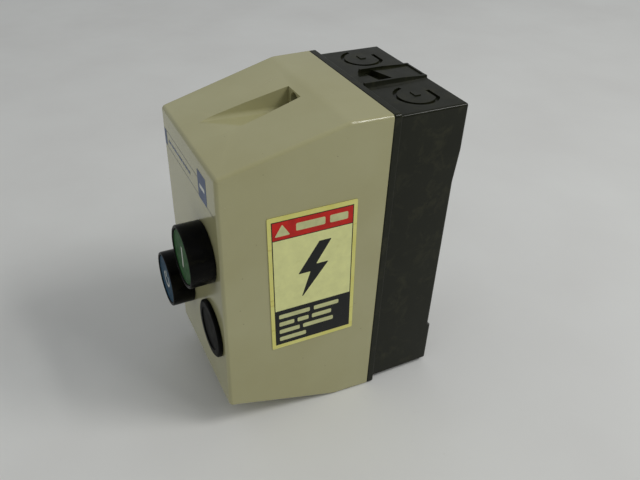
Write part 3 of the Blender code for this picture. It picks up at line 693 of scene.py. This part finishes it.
def bevel(obj, width, segments, angle):
    """Rounds edges sharper than angle degrees."""
    made = obj.modifiers.new("rounded edges", "BEVEL")
    made.width = width * MM
    made.segments = segments
    made.limit_method = "ANGLE"
    made.angle_limit = radians(angle)
    return made


def boolean(obj, operation, *others):
    """Joins or cuts an object with others, which are used up."""
    for other in others:
        made = obj.modifiers.new(other.name, "BOOLEAN")
        made.operation = operation
        made.solver = "EXACT"
        made.object = other
    applied(obj)
    for other in others:
        bpy.data.objects.remove(other, do_unlink=True)


# ---------------------------------------------------------------------------
# Lid
# ---------------------------------------------------------------------------

def slope_inset(y):
    """How far the lid's sloping top lies below the overall height at depth y."""
    return max(0.0, (-y - COVER_FLAT) * SLOPE_DROP / (COVER_DEPTH - COVER_FLAT))


def level(inset, end):
    """The height of something that lies inset from the top (end 1) or from the bottom (end -1)."""
    return HEIGHT - inset if end > 0 else inset


def lid_skin():
    """The lid's outer skin with round edges, open at the back, and its wall."""
    back = -PARTING_GAP
    points = [
        (back, 0.0), (-COVER_FLAT, 0.0), (-COVER_DEPTH, SLOPE_DROP),
        (-COVER_DEPTH, HEIGHT - SLOPE_DROP), (-COVER_FLAT, HEIGHT), (back, HEIGHT),
    ]
    skin = side_slab("lid_shell", points, -WIDTH / 2, WIDTH / 2)
    bm = bmesh.new()
    bm.from_mesh(skin.data)
    for vertex in bm.verts:
        depth = vertex.co.y / MM - PARTING_Y
        vertex.co.x *= 1.0 + depth / COVER_DEPTH * SIDE_TAPER / (WIDTH / 2)
    bmesh.ops.delete(bm, geom=[face for face in bm.faces if face.normal.y > 0.99], context="FACES")
    bm.to_mesh(skin.data)
    bm.free()
    bevel(skin, COVER_ROUNDING, 6, 10.0)
    wall = skin.modifiers.new("wall", "SOLIDIFY")
    wall.thickness = COVER_WALL * MM
    wall.offset = -1.0
    wall.use_even_offset = True
    return applied(skin)


def screw_channel(skin, end):
    """A screwdriver channel cut level into the slope, with the screw's hole in its rear wall."""
    rear = CHANNEL_REAR + COVER_WALL
    underside = level(CHANNEL_FLOOR + COVER_WALL, end)
    points = [
        (rear, level(slope_inset(rear) + 0.8, end)), (rear, underside), (CHANNEL_BLOCK_FRONT, underside),
        (CHANNEL_BLOCK_FRONT, level(slope_inset(CHANNEL_BLOCK_FRONT) + 0.8, end)),
    ]
    under = side_slab("under channel", points, -CHANNEL_BLOCK_HALF, CHANNEL_BLOCK_HALF)
    z = level(SCREW_INSET, end)
    boolean(skin, "UNION", under, rod("boss", 0.0, z, 6.0, CHANNEL_REAR + 2.0, -0.6))
    sections = []
    for y, half in CHANNEL_SECTIONS:
        floor, sky = level(CHANNEL_FLOOR, end), level(-6.0, end)
        outline = [(-half, sky), (-half, floor), (half, floor), (half, sky)]
        outline = rounded(outline, [0.0, CHANNEL_FILLET, CHANNEL_FILLET, 0.0], 8)
        sections.append([world(x, y, height) for x, height in outline])
    head_hole = rod("head hole", 0.0, z, HEAD_HOLE_RADIUS, CHANNEL_REAR - 0.5, SCREW_SEAT)
    shank_hole = rod("shank hole", 0.0, z, SHANK_HOLE_RADIUS, SCREW_SEAT - 0.5, 1.0)
    boolean(skin, "DIFFERENCE", loft("channel", sections), head_hole, shank_hole)


def make_lid():
    """The whole lid, with both channels and the three panel holes."""
    skin = lid_skin()
    for end in (1, -1):
        screw_channel(skin, end)
    holes = []
    for node in ("start_bezel", "reset_bezel", "blanking_plug"):
        x, z = middle(node)
        holes.append(rod("panel hole", x, z, PANEL_HOLE_RADIUS, -COVER_DEPTH - 4.0, -COVER_DEPTH + 8.0))
    boolean(skin, "DIFFERENCE", *holes)
    bevel(skin, 0.45, 3, 40.0)
    piece(shade(applied(skin), 40.0), "beige_plastic", "cover", ["cover"])


# ---------------------------------------------------------------------------
# Box
# ---------------------------------------------------------------------------

def rim(inset):
    """The rim's outline, drawn in by inset from the lip's edge."""
    x, low, high = WIDTH / 2 - inset, inset, HEIGHT - inset
    return rounded([(x, low), (x, high), (-x, high), (-x, low)], max(COVER_ROUNDING - inset, 0.8), 6)


def tray(name, wall, front):
    """The tray's side outline drawn in by wall: straight walls and a foot along each end of the back."""
    foot = BASE_DEPTH - wall
    hollow = foot - FOOT_STEP
    low = BASE_INSET + wall
    high = HEIGHT - BASE_INSET - wall
    points = [
        (front, low), (foot, low), (foot, LOW_FOOT_TOP), (hollow, LOW_FOOT_TOP + 2.4),
        (hollow, HIGH_FOOT_START), (foot, HIGH_FOOT), (foot, high), (front, high),
    ]
    half = WIDTH / 2 - BASE_INSET - wall
    return side_slab(name, points, -half, half)


def arc(radius, start, stop, steps, x, y):
    """Points along a stretch of a circle about (x, y), between two angles in degrees."""
    angles = [radians(start + (stop - start) * step / steps) for step in range(steps + 1)]
    return [(x + radius * cos(angle), y + radius * sin(angle)) for angle in angles]


def knockout_groove(x, end):
    """A C-shaped groove round a knockout: most of a circle, closed by a straight stretch towards the back."""
    inner_chord = GROOVE_CHORD - GROOVE_OUTER + GROOVE_INNER
    outer_stop = 360.0 + degrees(asin(GROOVE_CHORD / GROOVE_OUTER))
    inner_stop = 360.0 + degrees(asin(inner_chord / GROOVE_INNER))
    band = arc(GROOVE_OUTER, GROOVE_START, outer_stop, 48, x, KNOCKOUT_Y)
    band += [(x + GROOVE_END, KNOCKOUT_Y + GROOVE_CHORD), (x + GROOVE_END, KNOCKOUT_Y + inner_chord)]
    band += arc(GROOVE_INNER, inner_stop, GROOVE_START, 48, x, KNOCKOUT_Y)
    face = level(BASE_INSET, end)
    return plan_slab("groove", band, face - GROOVE_DEPTH, face + GROOVE_DEPTH)


def rib(end, side, front):
    """A rib whose top falls towards the back and whose outer side curves outwards to its foot."""
    inner, outer = FRAME_X + side * RIB_INNER, FRAME_X + side * RIB_OUTER
    sections = []
    for y, top in ((front, RIB_TOP), (RIB_FALL, RIB_TOP), (FRAME_BACK, RIB_REAR_TOP)):
        depth = RIB_FOOT - top
        outline = [(inner, RIB_FOOT), (inner, top)]
        for share in (0.0, 0.25, 0.5, 0.75, 1.0):
            outline.append((outer + side * RIB_LEAN * depth * share ** 1.5, top + depth * share))
        sections.append([world(x, y, level(inset, end)) for x, inset in outline])
    return loft("rib", sections)


def raised_frame(end):
    """Two ribs with a lower plate between them. The right rib starts at the lip, the left one at the slot."""
    foot, front, back = level(3.6, end), level(1.1, end), level(1.8, end)
    edge = level(1.2, end)
    points = [
        (RAMP_FRONT, foot), (RAMP_FRONT, front), (FRAME_BACK - 1.4, back),
        (FRAME_BACK - 1.2, edge), (FRAME_BACK - 0.1, edge), (FRAME_BACK - 0.1, foot),
    ]
    reach = RIB_INNER + 0.3
    plate = side_slab("plate", points, FRAME_X - reach, FRAME_X + reach)
    return [rib(end, -1, LEFT_RIB_FRONT), rib(end, 1, RIGHT_RIB_FRONT), plate]


def slot(end):
    """The slanting slot before the plate."""
    half = RIB_INNER - 0.2
    left, right = FRAME_X - half, FRAME_X + half
    points = [
        (left, SLOT_FRONT), (right, SLOT_FRONT + 2 * half * SLOT_FRONT_SLANT),
        (right, SLOT_BACK + 2 * half * SLOT_BACK_SLANT), (left, SLOT_BACK),
    ]
    return plan_slab("slot", points, *sorted((level(BASE_INSET + 2.1, end), level(-1.0, end))))


def pip(x, end):
    """The raised mark in the middle of a knockout."""
    low = (x - 4.0, KNOCKOUT_Y - 1.4, level(BASE_INSET + 0.7, end))
    return block("pip", low, (x + 1.2, KNOCKOUT_Y + 2.2, level(BASE_INSET - 0.5, end)))


def make_box():
    """The tray with its lip and raised frames, then hollowed, with posts and bosses for the screws."""
    body = tray("box_shell", 0.0, 1.0)
    bevel(body, 1.5, 6, 60.0)
    applied(body)
    lip = front_slab("lip", rim(0.0), 0.0, LIP_DEPTH)
    bevel(lip, 0.7, 4, 60.0)
    boolean(body, "UNION", applied(lip), *raised_frame(1), *raised_frame(-1))
    boolean(body, "DIFFERENCE", tray("tray space", BASE_WALL, -2.0))
    posts = [rod("screw post", 0.0, level(SCREW_INSET, end), 4.6, 3.2, 20.0) for end in (1, -1)]
    holes = [rod("thread", 0.0, level(SCREW_INSET, end), 2.3, 1.0, 16.0) for end in (1, -1)]
    earth_boss = (-36.0, 46.0, 34.0)
    bosses = ((-RAIL_SCREW_X, RAIL_Z, RAIL_BACK), (RAIL_SCREW_X, RAIL_Z, RAIL_BACK), earth_boss)
    for x, z, front in bosses:
        posts.append(rod("boss", x, z, 4.5, front, 42.0))
        holes.append(rod("boss hole", x, z, 1.9, front - 2.0, 43.2))
    for x in (-RAIL_SCREW_X, RAIL_SCREW_X):
        holes += [rod("wall screw hole", x, z, WALL_HOLE_RADIUS, 38.0, 50.0) for z in WALL_HOLE_HEIGHTS]
    knockouts = [(FRAME_X + side * KNOCKOUT_SPACING, end) for side in (-1, 1) for end in (1, -1)]
    boolean(body, "UNION", *posts, *(pip(*place) for place in knockouts))
    groove = front_slab("gasket groove", rim(0.9), -1.0, 2.3)
    boolean(groove, "DIFFERENCE", front_slab("inside", rim(3.1), -2.0, 3.0))
    grooves = [knockout_groove(*place) for place in knockouts]
    boolean(body, "DIFFERENCE", groove, *holes, slot(1), slot(-1), *grooves)
    bevel(body, 0.22, 2, 40.0)
    piece(shade(applied(body), 40.0), "black_plastic", "base", ["base_box"])


# ---------------------------------------------------------------------------
# Operators
# ---------------------------------------------------------------------------

def make_bezel(prefix):
    """A bezel's ring and threaded barrel, open at the front for the cap."""
    x, z = middle(f"{prefix}_bezel")
    profile = [
        (15.9, BEZEL_REACH), (BEZEL_RADIUS, BEZEL_REACH), (BEZEL_RADIUS, GAP), (SEAL_RADIUS, GAP),
        (SEAL_RADIUS, 1.8), (BARREL_RADIUS, 1.8), (BARREL_RADIUS, BARREL_END), (5.0, BARREL_END),
        (5.0, SPRING_SEAT), (SPRING_BORE, SPRING_SEAT), (SPRING_BORE, 3.0), (15.3, 3.0),
        (15.3, BEZEL_REACH - 0.6),
    ]
    radii = [0.3, 0.9, 0.25, 0.2, 0.2, 0.2, 0.4, 0.3, 0.2, 0.2, 0.2, 0.2, 0.2]
    outline = rounded(profile, radii, 5)
    bezel = turned(f"{prefix}_bezel_ring", x, -COVER_DEPTH, z, outline, closed=True)
    piece(shade(bezel), "black_operator", "cover", [f"{prefix}_bezel"])


def make_cap(prefix, finish):
    """The cap, dished a little in the middle, with its stem."""
    x, z = middle(f"{prefix}_button")
    bottom = CAP_REACH - CAP_DISH
    dish = [(radius, bottom + CAP_DISH * (radius / CAP_RIM) ** 2) for radius in (0.0, 3.0, 6.0, 9.0, 11.5)]
    profile = [
        (CAP_RIM, CAP_REACH), (CAP_RADIUS, CAP_REACH), (CAP_RADIUS, CAP_BACK), (STEM_RADIUS, CAP_BACK),
        (STEM_RADIUS, STEM_END), (2.9, STEM_END), (2.9, STEM_BORE),
    ]
    outline = rounded(profile, [0.3, 0.9, 0.2, 0.2, 0.3, 0.2, 0.0], 5)
    cap = turned(f"{prefix}_cap", x, -COVER_DEPTH, z, dish + outline + [(0.0, STEM_BORE)])
    piece(shade(cap), finish, f"{prefix}_operator", [f"{prefix}_button"])


def make_plug():
    """The blanking plug: a flat disc with a raised rim, on a threaded barrel."""
    x, z = middle("blanking_plug")
    profile = [
        (12.4, PLUG_FACE), (12.9, PLUG_RIM), (16.0, PLUG_RIM), (BEZEL_RADIUS, PLUG_FACE),
        (BEZEL_RADIUS, GAP), (SEAL_RADIUS, GAP), (SEAL_RADIUS, 1.3), (BARREL_RADIUS, 1.3),
        (BARREL_RADIUS, -12.0), (9.0, -12.0), (9.0, -0.8),
    ]
    radii = [0.25, 0.2, 0.5, 0.35, 0.2, 0.2, 0.2, 0.2, 0.4, 0.3, 0.2]
    body = [(0.0, PLUG_FACE)] + rounded(profile, radii, 4) + [(0.0, -0.8)]
    plug = turned("plug_disc", x, -COVER_DEPTH, z, body)
    piece(shade(plug), "plug", "cover", ["blanking_plug"])


def make_spring(node, body, turns):
    """A coil between two seats, as a swept wire."""
    low, high = corners(node)
    x, z = middle(node)
    radius = (high.x - low.x) / 2 - WIRE
    front = low.y + WIRE
    pitch = (high.y - low.y - 2 * WIRE) / turns
    around = [2 * pi * side / WIRE_SIDES for side in range(WIRE_SIDES)]
    sections = []
    for index in range(turns * COIL_STEPS + 1):
        angle = 2 * pi * index / COIL_STEPS
        outward = Vector((cos(angle), 0.0, sin(angle)))
        centre = Vector((x, front + pitch * index / COIL_STEPS, z)) + outward * radius
        sections.append([(centre + (outward * cos(a) + BACKWARD * sin(a)) * WIRE) * MM for a in around])
    coil = loft(f"{node}_coil", sections)
    piece(shade(coil), "zinc_steel", body, [node])
    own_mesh(coil)


# ---------------------------------------------------------------------------
# Print
# ---------------------------------------------------------------------------

def bar(left, right, low, high, radius=0.0):
    """A rectangle's outline, with round corners where a radius is given."""
    points = [(left, low), (right, low), (right, high), (left, high)]
    return rounded(points, radius, 4) if radius else points


def ring(name, outer, inner, low, high, to_world):
    """A flat ring between two outlines with the same number of points."""
    bm = bmesh.new()
    loops = []
    for outline in (outer, inner):
        for height in (low, high):
            loops.append([bm.verts.new(to_world(u, v, height)) for u, v in outline])
    outer_low, outer_high, inner_low, inner_high = loops
    count = len(outer)
    for first, second in (
        (outer_low, outer_high), (outer_high, inner_high), (inner_high, inner_low), (inner_low, outer_low)
    ):
        for index in range(count):
            following = (index + 1) % count
            bm.faces.new((first[index], first[following], second[following], second[index]))
    bmesh.ops.recalc_face_normals(bm, faces=bm.faces)
    return new_object(name, bm)


def label_space():
    """Turns a place on the side label, with its height above the label's face, into metres in the frame."""
    low, high = corners("side_label")
    lean = SIDE_TAPER / COVER_DEPTH
    turn = Euler((pi / 2, LABEL_TILT, pi / 2 - lean)).to_matrix().to_4x4()
    matrix = Matrix.Translation((low + high) / 2) @ turn

    def to_world(u, v, height):
        return matrix @ Vector((u, v, LABEL_HALF + height)) * MM

    return to_world


def make_side_print():
    """The side label's print: a frame, a red band, a bolt and a black panel, with plain bars for words."""
    to_world = label_space()

    def layer(name, outlines, ink, number):
        low = INK_LIFT * number
        made = slab(name, outlines, low, low + INK, to_world)
        piece(made, ink, "cover")

    right, top = PRINT_HALF_WIDTH, PRINT_HALF_HEIGHT
    outer = bar(-right, right, -top, top)
    left, foot, stop, head = -right + PRINT_LINE, -top + PRINT_LINE, right - PRINT_LINE, top - PRINT_LINE
    inner = bar(left, stop, foot, head)
    edge = ring("label_outline", outer, inner, INK_LIFT, INK_LIFT + INK, to_world)
    piece(edge, BLACK_INK, "cover")
    ground = bar(-right + UNDERLAP, right - UNDERLAP, -top + UNDERLAP, top - UNDERLAP)
    layer("label_ground", [ground], GROUND_INK, 0)
    layer("label_band_line", [bar(left, stop, BAND_FOOT - PRINT_LINE, BAND_FOOT)], BLACK_INK, 1)
    layer("label_red_band", [bar(left, stop, BAND_FOOT, head)], RED_INK, 1)
    triangle = rounded([(-21.0, 32.6), (-12.6, 32.6), (-16.8, 39.6)], 0.4, 4)
    words = [bar(*ends, BAND_FOOT + 3.2, BAND_FOOT + 7.8, 0.8) for ends in ((-9.4, 6.6), (9.2, 19.4))]
    layer("label_band_marks", [triangle, *words], CREAM_INK, 2)
    bolt = [(3.4, 24.0), (-8.6, 5.4), (-1.6, 5.4), (-7.0, -11.6), (8.8, 9.6), (1.6, 9.6), (10.4, 24.0)]
    layer("label_bolt", [rounded(bolt, 0.3, 3)], BLACK_INK, 1)
    layer("label_black_panel", [bar(left, stop, foot, PANEL_HEAD)], BLACK_INK, 1)
    rows = [
        ((-20.2, -2.0), (0.4, 15.4)),
        ((-20.2, -11.4), (-9.4, -2.8), (-0.8, 11.0)),
        ((-20.2, -8.2), (-6.2, 12.2)),
        ((-20.2, -4.4),),
    ]
    bars = []
    for index, row in enumerate(rows):
        low = TOP_ROW - ROW_PITCH * index
        bars += [bar(*ends, low, low + ROW_HEIGHT, 0.7) for ends in row]
    layer("label_panel_rows", bars, CREAM_INK, 2)


def front_space(u, v, height):
    """A place on the lid's front, with its height above the face, in metres in the frame."""
    return Vector((u, COVER_LOW.y - height, v)) * MM


def make_front_print():
    """The print across the lid's front: two blue blocks, a row of dashes and thin lines."""
    def layer(name, outlines, ink, number=1):
        low = INK_LIFT * number
        made = slab(name, outlines, low, low + INK, front_space)
        piece(made, ink, "cover")

    blocks = [bar(-42.6, BAND_LEFT, 147.6, BAND_TOP), bar(BAND_RIGHT, BLOCK_RIGHT, 146.6, 162.5, 0.8)]
    layer("front_blue_blocks", blocks, BLUE_INK)
    lines = [
        bar(BAND_LEFT, BAND_RIGHT, 157.1, BAND_TOP),
        bar(BAND_LEFT, BAND_RIGHT, 147.2, 147.5),
        bar(BLOCK_RIGHT, 40.4, 146.7, 147.0),
    ]
    layer("front_lines", lines, LINE_INK)
    dashes = []
    left = -35.2
    for length in (5.2, 3.4, 4.4, 2.6, 5.8, 3.0, 4.2, 3.6):
        dashes.append(bar(left, left + length, 151.6, 153.2))
        left += length + DASH_GAP
    layer("front_dashes", dashes, BLUE_INK)
    layer("front_block_marks", [bar(20.2, 28.0, 153.2, 155.4, 0.4)], WHITE_INK, 2)


def make_button_marks():
    """A plain bar on the start cap, and a ring with a gap on the reset cap."""
    dished_face = corners("start_button")[0].y + CAP_DISH - 0.01

    def on_face(u, v, height):
        return Vector((u, dished_face - height, v)) * MM

    x, z = middle("start_button")
    mark = slab("start_mark", [bar(x - 0.8, x + 0.8, z - 6.4, z + 6.4, 0.3)], 0.0, 0.1, on_face)
    piece(mark, WHITE_INK, "start_operator")
    x, z = middle("reset_button")
    outer = [(5.4 * sin(radians(a)) + x, 5.4 * cos(radians(a)) + z) for a in range(40, 321, 10)]
    inner = [(3.9 * sin(radians(a)) + x, 3.9 * cos(radians(a)) + z) for a in range(320, 39, -10)]
    upright = bar(x - 0.7, x + 0.7, z + 1.4, z + 6.4, 0.3)
    mark = slab("reset_mark", [outer + inner, upright], 0.0, 0.1, on_face)
    piece(mark, WHITE_INK, "reset_operator")


# ---------------------------------------------------------------------------
# Carried-over nodes
# ---------------------------------------------------------------------------

def smooth_group(limit):
    """A modifier group that shades smooth, except across edges sharper than limit degrees."""
    group = bpy.data.node_groups.new(f"smooth by {limit:g} degrees", "GeometryNodeTree")
    group.is_modifier = True
    group.interface.new_socket("Geometry", in_out="INPUT", socket_type="NodeSocketGeometry")
    group.interface.new_socket("Geometry", in_out="OUTPUT", socket_type="NodeSocketGeometry")
    start = group.nodes.new("NodeGroupInput")
    stop = group.nodes.new("NodeGroupOutput")
    faces = group.nodes.new("GeometryNodeSetShadeSmooth")
    faces.domain = "FACE"
    edges = group.nodes.new("GeometryNodeSetShadeSmooth")
    edges.domain = "EDGE"
    edges.inputs["Shade Smooth"].default_value = False
    angle = group.nodes.new("GeometryNodeInputMeshEdgeAngle")
    over = group.nodes.new("FunctionNodeCompare")
    over.inputs["B"].default_value = radians(limit)
    link = group.links.new
    link(angle.outputs["Unsigned Angle"], over.inputs["A"])
    link(over.outputs["Result"], edges.inputs["Selection"])
    link(start.outputs[0], faces.inputs["Geometry"])
    link(faces.outputs[0], edges.inputs["Geometry"])
    link(edges.outputs[0], stop.inputs[0])
    return group


SMOOTH = smooth_group(SMOOTH_LIMIT)


def soften(node):
    """Merges a carried-over node's triangles into flat faces and shades it."""
    weld = node.modifiers.new("weld", "WELD")
    weld.merge_threshold = 0.002 * MM
    flat = node.modifiers.new("flat faces", "DECIMATE")
    flat.decimate_type = "DISSOLVE"
    flat.angle_limit = radians(0.6)
    made = node.modifiers.new("smooth", "NODES")
    made.node_group = SMOOTH
    even = node.modifiers.new("even shading", "WEIGHTED_NORMAL")
    even.keep_sharp = True


def dress_nodes():
    """Gives each carried-over node its finish, by the record's material slots."""
    for entry in frame["record"]["subparts"]:
        node = NODES[entry["node"]]
        node.data.materials.clear()
        node.data.materials.append(FINISHES[entry["material_slot"]])
    NODES["coil_winding"].data.materials[0] = enamelled_winding()


# ---------------------------------------------------------------------------
# Studio
# ---------------------------------------------------------------------------

def make_floor():
    """The plain floor, 12 m each way."""
    bm = bmesh.new()
    bmesh.ops.create_grid(bm, x_segments=1, y_segments=1, size=6.0)
    floor = new_object("floor", bm)
    floor.data.materials.append(floor_paper())


def make_world():
    """A soft sky, brightest high up at the left and the front."""
    studio = bpy.data.worlds.new("studio")
    studio.use_nodes = True
    tree = studio.node_tree
    direction = tree.nodes.new("ShaderNodeTexCoord")
    toward = tree.nodes.new("ShaderNodeVectorMath")
    toward.operation = "DOT_PRODUCT"
    toward.inputs[1].default_value = SKY_WINDOW
    fade = tree.nodes.new("ShaderNodeMapRange")
    for socket, value in (("From Min", -0.3), ("From Max", 1.0), ("To Min", SKY_LOW), ("To Max", SKY_HIGH)):
        fade.inputs[socket].default_value = value
    tree.links.new(direction.outputs["Generated"], toward.inputs[0])
    tree.links.new(toward.outputs["Value"], fade.inputs["Value"])
    tree.links.new(fade.outputs["Result"], tree.nodes["Background"].inputs["Strength"])
    tree.nodes["Background"].inputs["Color"].default_value = (0.96, 0.98, 1.0, 1.0)
    SCENE.world = studio


def area_light(name, where, target, size, power, along):
    """A rectangular lamp that faces a target, with its first side along a direction."""
    data = bpy.data.lights.new(name, "AREA")
    data.shape = "RECTANGLE"
    data.size, data.size_y = size
    data.energy = power
    data.color = (1.0, 0.99, 0.97)
    light = bpy.data.objects.new(name, data)
    back = (Vector(where) - Vector(target)).normalized()
    right = (Vector(along) - back * back.dot(Vector(along))).normalized()
    axes = Matrix((right, back.cross(right), back)).transposed()
    light.matrix_world = Matrix.Translation(where) @ axes.to_4x4()
    SCENE.collection.objects.link(light)


def make_camera():
    """The camera, by its direction from the object, its roll and its place."""
    back = Vector((
        sin(CAMERA_AZIMUTH) * cos(CAMERA_ELEVATION),
        -cos(CAMERA_AZIMUTH) * cos(CAMERA_ELEVATION),
        sin(CAMERA_ELEVATION),
    ))
    right = Vector((0.0, 0.0, 1.0)).cross(back).normalized()
    up = back.cross(right)
    turned_right = cos(CAMERA_ROLL) * right + sin(CAMERA_ROLL) * up
    turned_up = back.cross(turned_right)
    data = bpy.data.cameras.new("camera")
    data.lens = CAMERA_LENS
    data.sensor_width = 36.0
    data.clip_start = 0.01
    camera = bpy.data.objects.new("camera", data)
    axes = Matrix((turned_right, turned_up, back)).transposed()
    camera.matrix_world = Matrix.Translation(world(*CAMERA_PLACE)) @ axes.to_4x4()
    SCENE.collection.objects.link(camera)
    SCENE.camera = camera


make_floor()
make_world()
area_light("key", *KEY_LAMP)
area_light("tube", *TUBE_LAMP)
make_camera()
dress_nodes()
make_lid()
make_box()
for prefix, finish in (("start", "green_cap"), ("reset", "blue_cap")):
    make_bezel(prefix)
    make_cap(prefix, finish)
make_plug()
make_side_print()
make_front_print()
make_button_marks()
make_spring("start_spring", "cover", 5)
make_spring("reset_spring", "cover", 5)
make_spring("return_spring", "base", 3)
for name, node in NODES.items():
    if not node.hide_render:
        soften(node)

SCENE.view_settings.view_transform = "Standard"
